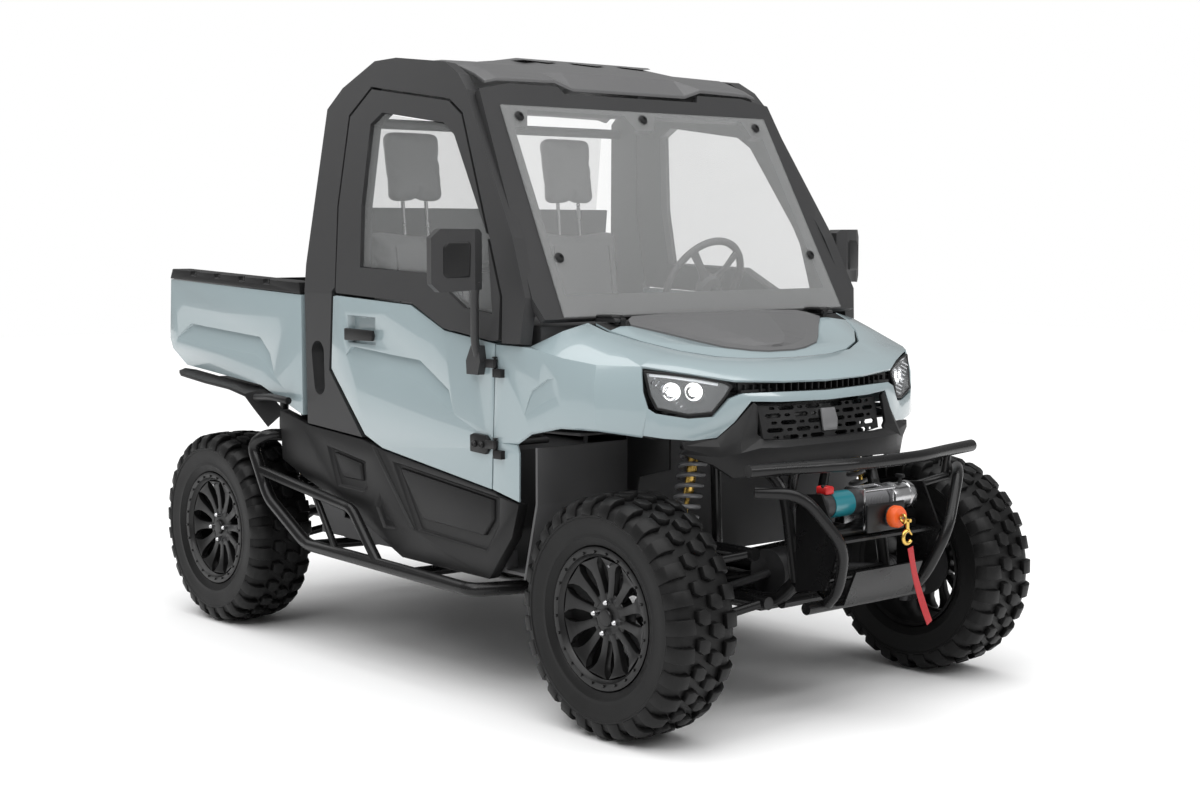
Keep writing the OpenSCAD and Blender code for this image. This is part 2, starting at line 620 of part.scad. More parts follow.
// ---- cabin ----
module dashboard() color(black) {
    v = [cos(sw_tilt), 0, -sin(sw_tilt)];
    difference() {
        plate_xz([[700, 1172], [470, 1190], [430, 1150], [470, 960], [560, 900], [700, 900]],
            -half + 75, half - 75);
        plate_xz([[690, 1155], [500, 1168], [480, 1140], [520, 980], [600, 920], [690, 920]],
            -half + 90, half - 90);
        rod(sw_c + v * 30, sw_c + v * 360, 56);
    }
}

module steering_column() color(black) {
    v = [cos(sw_tilt), 0, -sin(sw_tilt)];
    rod(sw_c + v * 62, sw_c + v * 330, 44);
}

module steering_wheel() color(black)
    translate(sw_c) rotate([0, -90 + sw_tilt, 0]) {
        rotate_extrude() translate([steer_d / 2 - 14, 0]) circle(d = 28);
        translate([0, 0, -50]) cylinder(d = 96, h = 50);
        for (a = [0, 140, 220]) rotate([0, 0, a]) translate([-170, -14, -26]) cube([140, 28, 12]);
    }

module seat(y) {
    // cushion
    difference() {
        translate([-355, y - seat_w / 2, seat_h - 150]) cube([490, seat_w, 150]);
        translate([-360, y - seat_w / 2 + 70, seat_h - 22]) cube([420, seat_w - 140, 40]);
    }
    // backrest and headrest, leaning back
    translate([-345, y, seat_h - 90]) rotate([0, -7, 0]) {
        translate([0, -seat_w / 2, 102]) cube([100, seat_w, 560]);
        translate([10, -126, 700]) cube([85, 252, 290]);
        translate([40, -60, 640]) cube([24, 24, 80]);
        translate([40, 36, 640]) cube([24, 24, 80]);
    }
}

module seats() color([0.2, 0.2, 0.21]) for (y = [-355, 355]) seat(y);

// ---- cargo bed ----
module bed_tub() color(black) {
    difference() {
        plate_xz([[bed_x0 + 18, bed_z], [bed_x1 - 4, bed_z], [bed_x1 - 4, bed_top - 38],
            [bed_x0 + 18, bed_top - 2]], -half + 30, half - 30);
        box([bed_x0, -half + 75, bed_z + bed_t], [bed_x1 - 40, half - 75, bed_top + 60]);
    }
    both() box([bed_x0 + 60, -315, bed_z - 40], [bed_x1 - 60, -285, bed_z]);
    both() {
        // pivot lugs and pins
        box([tilt_x - 20, -284, tilt_z - 16], [tilt_x + 20, -264, bed_z]);
        translate([tilt_x, -270, tilt_z]) rotate([90, 0, 0]) cylinder(r = pivot_r, h = 46);
        // lugs and pins of the tailgate's hinges
        box([bed_x0 - 12, -425, gate_z - 10], [bed_x0 + 20, -403, gate_z + 8]);
        translate([bed_x0 - 4, -364, gate_z]) rotate([90, 0, 0]) cylinder(r = hinge_pin_r, h = 40);
    }
}

module bed_sides() color(blue) both() {
    plate_xz([[bed_x0, 1278], [bed_x1, 1240], [bed_x1, 818], [rx(-828), 907], [bed_x0 + 115, 951],
        [bed_x0 + 5, 1010], [bed_x0 - 15, 1050]], -half, -half + 24);
}

module bed_rails() color(black) both() {
    plate_xz([[bed_x0, 1280], [bed_x0 + 20, 1318], [bed_x1 - 12, 1284], [bed_x1, 1243]],
        -half - 4, -half + 74);
}

module tail_lamps() color([0.6, 0.05, 0.05]) both()
    box([bed_x0 - 4, -half + 26, 1080], [bed_x0 + 14, -half + 68, 1240]);

module tailgate() color(black) difference() {
    union() {
        box([bed_x0 - 12, -half + 82, gate_z], [bed_x0 + 14, half - 82, bed_top - 2]);
        both() translate([bed_x0 - 4, -362, gate_z]) rotate([90, 0, 0]) cylinder(r = 9, h = 38);
    }
    both() {
        // notch for the lug, bore for the pin
        box([bed_x0 - 14, -429, gate_z - 12], [bed_x0 + 16, -400, gate_z + 18]);
        translate([bed_x0 - 4, -358, gate_z]) rotate([90, 0, 0])
            cylinder(r = hinge_pin_r + pin_gap, h = 46);
    }
}

// ---- doors ----
module door_panel() color(blue) difference() {
    union() {
        door_skin();
        for (z = hinge_zs) {
            box([534, -hinge_y - 7, z - 6], [546, -half + 1, z + 20]);
            box([534, -hinge_y - 7, z - 6], [hinge_x, -half - 4, z + 20]);
            translate([hinge_x, -hinge_y, z - 6]) cylinder(r = 8, h = 26);
        }
    }
    for (z = hinge_zs) translate([hinge_x, -hinge_y, z - 8])
        cylinder(r = hinge_pin_r + pin_gap, h = 40);
}

// lower skin of a door below its frame
module door_skin() {
    plate_xz([[-318, 1243], [120, 1223], [305, 1148], [566, 1118], [546, 667], [-50, 744],
        [-152, 780], [-355, 992], [-338, 1240]], -half, -half + side_t);
}

module door_frame() color(grey) {
    difference() {
        lean() plate_xz([for (p = [[-324, 1262], [-341, 1549], [-309, 1851], [-189, 1938],
            [252, 1876], [326, 1829], [592, 1262], [600, 1130], [566, 1126], [310, 1156],
            [125, 1232], [-318, 1252]]) [p[0], cz(p[1])]], -half, -half + side_t);
        lean() plate_xz([for (p = [[-184, 1341], [-202, 1547], [-183, 1821], [-119, 1857],
            [234, 1808], [295, 1768], [508, 1445], [560, 1208], [413, 1222], [209, 1328]])
            [p[0], cz(p[1])]], -half - 20, -half + side_t + 20);
    }
    // mirror on its arm
    plate_xz([[455, 1020], [512, 1020], [524, 1062], [515, 1110], [478, 1110], [452, 1062]],
        -half - 26, -half);
    tube([[500, -half - 16, 1080], [512, -half - 36, 1120], [560, -half - 72, 1270],
        [580, -half - 80, 1310]], 26, 30);
    translate([552, -half - 135, 1373]) rotate([0, 0, -20]) difference() {
        intersection() {
            plate_yz([[-82, -70], [-58, -95], [82, -88], [82, 82], [70, 94], [-54, 95], [-82, 68]],
                -40, 40);
            plate_xy([[-30, -82], [-30, 82], [0, 82], [28, 52], [32, -30], [20, -82]], -100, 100);
        }
        plate_yz([[-70, -66], [-54, -84], [74, -78], [74, 76], [-52, 84], [-70, 62]], -40, -24);
    }
}

module door_glass() color(clear)
    lean() plate_xz([for (p = [[-183, 1344], [-200, 1547], [-181, 1819], [-118, 1854],
        [233, 1805], [293, 1766], [505, 1445], [557, 1211], [413, 1225], [209, 1331]])
        [p[0], cz(p[1])]], -half + 14, -half + 14 + glass_t);

module right_door_panel() door_panel();
module right_door_frame() door_frame();
module right_door_glass() door_glass();
module left_door_panel() mirror([0, 1, 0]) door_panel();
module left_door_frame() mirror([0, 1, 0]) door_frame();
module left_door_glass() mirror([0, 1, 0]) door_glass();

// ---- wheels ----
module knuckle() color([0.3, 0.3, 0.31]) {
    z = tyre_r;
    rod([ax_f, -king_y - 22, z], [ax_f, -king_y - 50, z], 96);
    rod([ax_f, -king_y - 22, z], [ax_f, -ty - 26, z], 2 * spindle_r);
    box([ax_f - 22, -king_y - 44, z - 119], [ax_f + 22, -king_y - 23, z + 145]);
    // lugs on the ball studs
    for (h = [z - 119, z + 125]) difference() {
        union() {
            translate([ax_f, -king_y, h]) cylinder(d = 40, h = 20);
            box([ax_f - 18, -king_y - 24, h], [ax_f + 18, -king_y, h + 20]);
        }
        translate([ax_f, -king_y, h - 1]) cylinder(r = stud_r + pin_gap, h = 22);
    }
}

module front_knuckle_right() knuckle();
module front_knuckle_left() mirror([0, 1, 0]) knuckle();

module rim() color(black) rotate([90, 0, 0]) {
    r = rim_d / 2;
    // barrel with bead flanges
    rotate_extrude() polygon([[r - 12, -tyre_w / 2 + 22], [r + 2, -tyre_w / 2 + 22],
        [r - 6, -tyre_w / 2 + 36], [r - 6, tyre_w / 2 - 36], [r + 2, tyre_w / 2 - 22],
        [r - 12, tyre_w / 2 - 22], [r - 12 - rim_t, tyre_w / 2 - 36],
        [r - 12 - rim_t, -tyre_w / 2 + 36]]);
    // spokes
    for (i = [0 : spokes - 1]) rotate([0, 0, i * 360 / spokes])
        translate([46, -7, 62]) cube([r - 60, 14, 20]);
    // hub with the spindle bore
    difference() {
        translate([0, 0, 20]) cylinder(d = 130, h = 66);
        translate([0, 0, 10]) cylinder(r = spindle_r + spindle_gap, h = 24);
    }
}

module tyre() color([0.04, 0.04, 0.042]) rotate([90, 0, 0]) {
    r = rim_d / 2;
    w = tyre_w / 2;
    rotate_extrude($fn = 96) difference() {
        polygon([[r + 4, -w + 24], [r + 30, -w + 6], [tyre_r - 62, -w], [tyre_r - 22, -w + 10],
            [tyre_r - 4, -w + 34], [tyre_r, -w + 60], [tyre_r, w - 60], [tyre_r - 4, w - 34],
            [tyre_r - 22, w - 10], [tyre_r - 62, w], [r + 30, w - 6], [r + 4, w - 24]]);
        polygon([[r + 3, -w + 40], [r + 40, -w + 22], [tyre_r - 50, -w + 20], [tyre_r - 28, -w + 46],
            [tyre_r - 28, w - 46], [tyre_r - 50, w - 20], [r + 40, w - 22], [r + 3, w - 40]]);
    }
}

// puts a wheel part at one corner: axle station and side
module at_corner(ax, s)
    translate([ax, s * ty, tyre_r]) rotate([0, 0, s < 0 ? 0 : 180]) children();

module rim_front_right() at_corner(ax_f, -1) rim();
module tyre_front_right() at_corner(ax_f, -1) tyre();
module rim_front_left() at_corner(ax_f, 1) rim();
module tyre_front_left() at_corner(ax_f, 1) tyre();
module rim_rear_right() at_corner(ax_r, -1) rim();
module tyre_rear_right() at_corner(ax_r, -1) tyre();
module rim_rear_left() at_corner(ax_r, 1) rim();
module tyre_rear_left() at_corner(ax_r, 1) tyre();

frame();
engine();
driveline();
arms();
shocks();
cab_floor();
cab_frame();
roof();
cab_glass();
front_fenders();
front_fascia();
grille();
headlamps();
side_panels();
rear_fenders();
sliders();
bumper();
winch();
pull_strap();
dashboard();
seats();
steering_column();
hood_panel();
hood_insert();
bed_tub();
bed_sides();
bed_rails();
tail_lamps();
tailgate();
right_door_panel();
right_door_frame();
right_door_glass();
left_door_panel();
left_door_frame();
left_door_glass();
steering_wheel();
front_knuckle_right();
front_knuckle_left();
rim_front_right();
tyre_front_right();
rim_front_left();
tyre_front_left();
rim_rear_right();
tyre_rear_right();
rim_rear_left();
tyre_rear_left();
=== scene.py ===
import logging
import math
from dataclasses import dataclass
from enum import Enum
from typing import Callable, Dict, List, Sequence, Tuple

import bpy
from mathutils import Matrix, Vector


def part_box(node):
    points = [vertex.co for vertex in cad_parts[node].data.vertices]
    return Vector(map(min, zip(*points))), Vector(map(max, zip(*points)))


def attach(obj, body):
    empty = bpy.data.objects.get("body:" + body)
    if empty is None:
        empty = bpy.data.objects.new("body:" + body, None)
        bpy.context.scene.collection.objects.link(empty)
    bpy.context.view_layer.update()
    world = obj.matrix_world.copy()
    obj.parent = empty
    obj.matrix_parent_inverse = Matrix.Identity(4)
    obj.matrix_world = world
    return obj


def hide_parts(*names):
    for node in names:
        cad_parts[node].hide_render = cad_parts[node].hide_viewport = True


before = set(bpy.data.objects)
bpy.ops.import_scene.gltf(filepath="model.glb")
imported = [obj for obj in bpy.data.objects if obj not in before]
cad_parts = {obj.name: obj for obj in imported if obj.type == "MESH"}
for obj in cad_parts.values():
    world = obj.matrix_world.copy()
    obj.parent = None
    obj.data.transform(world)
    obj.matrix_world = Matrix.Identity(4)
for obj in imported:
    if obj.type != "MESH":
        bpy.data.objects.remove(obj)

LOG = logging.getLogger("utility_vehicle")
Point = Tuple[float, float, float]
Flat = Tuple[float, float]

TYRE_R = 0.3555
AXLE_X = 1.1115
WHEEL_Y = 0.676
HALF = 0.735
SEAT_Y = 0.355
DOOR_PIN = (0.577, 0.744)
DOOR_HINGES_Z = (1.050, 0.800)
BED_FLOOR_Z = 1.0075
FULL = 2 * math.pi


class Side(Enum):
    """The two sides of the vehicle, as the sign of Y."""

    RIGHT = -1
    LEFT = 1

    @property
    def word(self) -> str:
        """Name used in node and piece names."""
        return "right" if self is Side.RIGHT else "left"


class Axle(Enum):
    """The two axles, as the sign of X."""

    FRONT = 1
    REAR = -1

    @property
    def word(self) -> str:
        """Name used in node and piece names."""
        return "front" if self is Axle.FRONT else "rear"


# ---------------------------------------------------------------- finishes


class Patterns:
    """Shader node groups that several finishes share, each built once."""

    _made: Dict[str, bpy.types.NodeTree] = {}

    @classmethod
    def _start(cls, name: str, inputs: Sequence[Tuple[str, str, object]],
               outputs: Sequence[Tuple[str, str]]) -> bpy.types.NodeTree:
        """Makes an empty group with named sockets.

        Args:
            name: name of the group.
            inputs: socket type, name and default of each input.
            outputs: socket type and name of each output.

        Returns:
            The new node tree with its group input and output nodes.
        """
        tree = bpy.data.node_groups.new(name, "ShaderNodeTree")
        for kind, label, default in inputs:
            sock = tree.interface.new_socket(label, in_out="INPUT", socket_type=kind)
            sock.default_value = default
        for kind, label in outputs:
            tree.interface.new_socket(label, in_out="OUTPUT", socket_type=kind)
        tree.nodes.new("NodeGroupInput").name = "In"
        tree.nodes.new("NodeGroupOutput").name = "Out"
        cls._made[name] = tree
        return tree

    @classmethod
    def mottle(cls) -> bpy.types.NodeTree:
        """Slow colour drift and matching roughness drift.

        Returns:
            A group with Color, Amount and Scale in, Color and Drift out.
        """
        if "mottle" in cls._made:
            return cls._made["mottle"]
        t = cls._start("mottle", [("NodeSocketColor", "Color", (0.5, 0.5, 0.5, 1)),
                                  ("NodeSocketFloat", "Amount", 0.1),
                                  ("NodeSocketFloat", "Scale", 6.0),
                                  ("NodeSocketFloat", "Roughness", 0.5),
                                  ("NodeSocketFloat", "Spread", 0.05)],
                       [("NodeSocketColor", "Color"), ("NodeSocketFloat", "Roughness")])
        n, ln = t.nodes, t.links
        src, out = n["In"], n["Out"]
        pos = n.new("ShaderNodeTexCoord")
        big = n.new("ShaderNodeTexNoise")
        big.inputs["Detail"].default_value = 5
        big.inputs["Roughness"].default_value = 0.6
        ln.new(pos.outputs["Object"], big.inputs["Vector"])
        ln.new(src.outputs["Scale"], big.inputs["Scale"])
        drift = n.new("ShaderNodeMath")
        drift.operation = "SUBTRACT"
        drift.inputs[1].default_value = 0.5
        ln.new(big.outputs["Fac"], drift.inputs[0])
        gain = n.new("ShaderNodeMath")
        gain.operation = "MULTIPLY_ADD"
        gain.inputs[2].default_value = 1.0
        ln.new(drift.outputs[0], gain.inputs[0])
        ln.new(src.outputs["Amount"], gain.inputs[1])
        hsv = n.new("ShaderNodeHueSaturation")
        ln.new(src.outputs["Color"], hsv.inputs["Color"])
        ln.new(gain.outputs[0], hsv.inputs["Value"])
        ln.new(hsv.outputs[0], out.inputs["Color"])
        rough = n.new("ShaderNodeMath")
        rough.operation = "MULTIPLY_ADD"
        ln.new(drift.outputs[0], rough.inputs[0])
        ln.new(src.outputs["Spread"], rough.inputs[1])
        ln.new(src.outputs["Roughness"], rough.inputs[2])
        ln.new(rough.outputs[0], out.inputs["Roughness"])
        return t

    @classmethod
    def grain(cls) -> bpy.types.NodeTree:
        """Pebbled moulded grain or orange peel, as a height.

        Returns:
            A group with Scale and Pebble in and Height out.
        """
        if "grain" in cls._made:
            return cls._made["grain"]
        t = cls._start("grain", [("NodeSocketFloat", "Scale", 600.0),
                                 ("NodeSocketFloat", "Pebble", 0.5)],
                       [("NodeSocketFloat", "Height")])
        n, ln = t.nodes, t.links
        src, out = n["In"], n["Out"]
        pos = n.new("ShaderNodeTexCoord")
        fine = n.new("ShaderNodeTexNoise")
        fine.inputs["Detail"].default_value = 3
        cells = n.new("ShaderNodeTexVoronoi")
        cells.feature = "SMOOTH_F1"
        for tex in (fine, cells):
            ln.new(pos.outputs["Object"], tex.inputs["Vector"])
            ln.new(src.outputs["Scale"], tex.inputs["Scale"])
        mix = n.new("ShaderNodeMix")
        ln.new(src.outputs["Pebble"], mix.inputs[0])
        ln.new(fine.outputs["Fac"], mix.inputs[2])
        ln.new(cells.outputs["Distance"], mix.inputs[3])
        ln.new(mix.outputs[0], out.inputs["Height"])
        return t

    @classmethod
    def dust(cls) -> bpy.types.NodeTree:
        """Pale dust that lies thicker low down.

        Returns:
            A group with Color, Dust and Amount in and Color out.
        """
        if "dust" in cls._made:
            return cls._made["dust"]
        t = cls._start("dust", [("NodeSocketColor", "Color", (0.1, 0.1, 0.1, 1)),
                                ("NodeSocketColor", "Dust", (0.3, 0.28, 0.25, 1)),
                                ("NodeSocketFloat", "Amount", 0.1)],
                       [("NodeSocketColor", "Color")])
        n, ln = t.nodes, t.links
        src, out = n["In"], n["Out"]
        pos = n.new("ShaderNodeTexCoord")
        sep = n.new("ShaderNodeSeparateXYZ")
        ln.new(pos.outputs["Object"], sep.inputs[0])
        low = n.new("ShaderNodeMapRange")
        low.inputs["From Min"].default_value = 0.0
        low.inputs["From Max"].default_value = 1.1
        low.inputs["To Min"].default_value = 1.0
        low.inputs["To Max"].default_value = 0.25
        ln.new(sep.outputs["Z"], low.inputs["Value"])
        blot = n.new("ShaderNodeTexNoise")
        blot.inputs["Scale"].default_value = 14
        blot.inputs["Detail"].default_value = 7
        ln.new(pos.outputs["Object"], blot.inputs["Vector"])
        both = n.new("ShaderNodeMath")
        both.operation = "MULTIPLY"
        ln.new(low.outputs[0], both.inputs[0])
        ln.new(blot.outputs["Fac"], both.inputs[1])
        amt = n.new("ShaderNodeMath")
        amt.operation = "MULTIPLY"
        amt.use_clamp = True
        ln.new(both.outputs[0], amt.inputs[0])
        ln.new(src.outputs["Amount"], amt.inputs[1])
        mix = n.new("ShaderNodeMix")
        mix.data_type = "RGBA"
        ln.new(amt.outputs[0], mix.inputs[0])
        ln.new(src.outputs["Color"], mix.inputs[6])
        ln.new(src.outputs["Dust"], mix.inputs[7])
        ln.new(mix.outputs[2], out.inputs["Color"])
        return t


@dataclass(frozen=True)
class Finish:
    """One surface finish, from its colour down to its grain."""

    name: str
    colour: Point
    rough: float = 0.5
    metal: float = 0.0
    coat: float = 0.0
    coat_rough: float = 0.03
    specular: float = 0.5
    grain: float = 0.0
    grain_size: float = 600.0
    pebble: float = 0.5
    drift: float = 0.12
    drift_size: float = 5.0
    spread: float = 0.08
    dust: float = 0.0
    alpha: float = 1.0
    glow: float = 0.0
    sheen: float = 0.0

    def build(self) -> bpy.types.Material:
        """Makes or finds the material of this finish.

        Returns:
            The material, with the shared patterns wired into it.
        """
        found = bpy.data.materials.get(self.name)
        if found:
            return found
        mat = bpy.data.materials.new(self.name)
        mat.use_nodes = True
        n, ln = mat.node_tree.nodes, mat.node_tree.links
        bsdf = n["Principled BSDF"]
        bsdf.inputs["Metallic"].default_value = self.metal
        bsdf.inputs["Coat Weight"].default_value = self.coat
        bsdf.inputs["Coat Roughness"].default_value = self.coat_rough
        bsdf.inputs["Specular IOR Level"].default_value = self.specular
        bsdf.inputs["Alpha"].default_value = self.alpha
        bsdf.inputs["Sheen Weight"].default_value = self.sheen
        drift = n.new("ShaderNodeGroup")
        drift.node_tree = Patterns.mottle()
        drift.inputs["Color"].default_value = (*self.colour, 1)
        drift.inputs["Amount"].default_value = self.drift
        drift.inputs["Scale"].default_value = self.drift_size
        drift.inputs["Roughness"].default_value = self.rough
        drift.inputs["Spread"].default_value = self.spread
        last = drift.outputs["Color"]
        if self.dust > 0:
            dust = n.new("ShaderNodeGroup")
            dust.node_tree = Patterns.dust()
            dust.inputs["Amount"].default_value = self.dust
            ln.new(last, dust.inputs["Color"])
            last = dust.outputs["Color"]
        ln.new(last, bsdf.inputs["Base Color"])
        ln.new(drift.outputs["Roughness"], bsdf.inputs["Roughness"])
        if self.grain > 0:
            grain = n.new("ShaderNodeGroup")
            grain.node_tree = Patterns.grain()
            grain.inputs["Scale"].default_value = self.grain_size
            grain.inputs["Pebble"].default_value = self.pebble
            bump = n.new("ShaderNodeBump")
            bump.inputs["Strength"].default_value = self.grain
            bump.inputs["Distance"].default_value = 0.001
            ln.new(grain.outputs["Height"], bump.inputs["Height"])
            ln.new(bump.outputs["Normal"], bsdf.inputs["Normal"])
        if self.glow > 0:
            bsdf.inputs["Emission Color"].default_value = (*self.colour, 1)
            bsdf.inputs["Emission Strength"].default_value = self.glow
        if self.alpha < 1:
            mat.surface_render_method = "BLENDED"
        return mat


PAINT = Finish("pale_paint", (0.300, 0.372, 0.392), rough=0.25, coat=0.8, coat_rough=0.03,
               drift=0.04, drift_size=2.0, grain=0.02, grain_size=260, pebble=0.0)
CAB_PLASTIC = Finish("cab_plastic", (0.032, 0.032, 0.033), rough=0.46, specular=0.4, grain=0.3,
                     grain_size=900, pebble=0.6, drift=0.15, spread=0.12)
# The cab's black plastic with a lighter base colour: a painted highlight for faces that look up to the
# overhead light (roof, roof pressings, hood insert).
TOPLIT_PLASTIC = Finish("cab_plastic_painted_toplight", (0.115, 0.115, 0.117), rough=0.42, specular=0.5, grain=0.3,
                     grain_size=900, pebble=0.6, drift=0.12, spread=0.1)
BLACK_PLASTIC = Finish("black_moulding", (0.008, 0.008, 0.0085), rough=0.42, specular=0.30,
                       grain=0.3, grain_size=800, pebble=0.7, drift=0.2, spread=0.15, dust=0.02)
POWDER = Finish("powder_coat", (0.005, 0.005, 0.0055), rough=0.28, specular=0.32, grain=0.1,
                grain_size=1400, pebble=0.2, drift=0.2, spread=0.1, dust=0.02)
RUBBER = Finish("tyre_rubber", (0.0042, 0.0042, 0.0044), rough=0.48, grain=0.35,
                grain_size=420, pebble=0.3, drift=0.35, drift_size=9, spread=0.2, dust=0.01,
                specular=0.24)
RIM_BLACK = Finish("rim_satin", (0.006, 0.006, 0.0063), rough=0.34, specular=0.35, grain=0.08,
                   grain_size=900, drift=0.2, dust=0.015)
VINYL = Finish("seat_vinyl", (0.30, 0.30, 0.305), rough=0.52, grain=0.3, grain_size=480,
               pebble=0.4, drift=0.12, spread=0.1)
INNER = Finish("cabin_moulding", (0.085, 0.085, 0.087), rough=0.6, grain=0.3, grain_size=700,
               pebble=0.4, drift=0.15)
STEEL = Finish("bright_steel", (0.55, 0.55, 0.56), rough=0.26, metal=1.0, drift=0.15,
               grain=0.05, grain_size=300, spread=0.2)
SPRING = Finish("spring_grey", (0.16, 0.16, 0.165), rough=0.35, coat=0.4, drift=0.15,
                spread=0.1)
CAST = Finish("cast_metal", (0.045, 0.045, 0.047), rough=0.5, metal=0.5, grain=0.4,
              grain_size=420, pebble=0.4, drift=0.3, dust=0.03)
GOLD = Finish("gold_zinc", (0.70, 0.46, 0.12), rough=0.27, metal=1.0, drift=0.25, drift_size=30,
              spread=0.2)
TEAL = Finish("winch_teal", (0.015, 0.19, 0.23), rough=0.3, coat=0.6, drift=0.1)
ORANGE = Finish("stopper_orange", (0.80, 0.11, 0.015), rough=0.45, drift=0.1, grain=0.1)
RED_CAP = Finish("terminal_red", (0.6, 0.015, 0.015), rough=0.4, drift=0.1)
WEBBING = Finish("strap_red", (0.42, 0.008, 0.014), rough=0.8, grain=0.8, grain_size=1500,
                 pebble=0.1, drift=0.2, drift_size=60, sheen=0.2)
ROPE = Finish("winch_rope", (0.25, 0.25, 0.26), rough=0.6, grain=0.8, grain_size=900, drift=0.3)
LAMP_DARK = Finish("lamp_housing", (0.008, 0.008, 0.009), rough=0.25, coat=0.3, drift=0.1)
REFLECTOR = Finish("lamp_reflector", (0.72, 0.73, 0.75), rough=0.12, metal=1.0, drift=0.1,
                   grain=0.3, grain_size=160, pebble=1.0)
LIT = Finish("lamp_lit", (1.0, 0.98, 0.94), rough=0.3, glow=6.0, drift=0.02)
STRIP = Finish("lamp_strip", (0.85, 0.88, 0.92), rough=0.3, glow=0.3, drift=0.02)
LENS = Finish("lamp_lens", (0.9, 0.93, 0.95), rough=0.04, alpha=0.10, drift=0.02,
              spread=0.02)
SCREEN = Finish("windscreen_glass", (0.72, 0.73, 0.73), rough=0.06, alpha=0.15, drift=0.04,
                drift_size=1.2, spread=0.02)
WINDOW = Finish("window_glass", (0.45, 0.46, 0.46), rough=0.05, alpha=0.18, drift=0.04,
                drift_size=1.2, spread=0.02)
RED_LENS = Finish("tail_lens", (0.32, 0.006, 0.008), rough=0.12, coat=0.8, drift=0.15,
                  drift_size=60, grain=0.6, grain_size=200, pebble=1.0)
MIRROR_FACE = Finish("mirror_face", (0.8, 0.82, 0.84), rough=0.03, metal=1.0, drift=0.02,
                     spread=0.01)
SEAM = Finish("seam_thread", (0.12, 0.12, 0.125), rough=0.8, drift=0.2)
SEAL = Finish("seal_rubber", (0.005, 0.005, 0.0055), rough=0.5, specular=0.35, drift=0.2,
              grain=0.1)


# ---------------------------------------------------------------- modelling


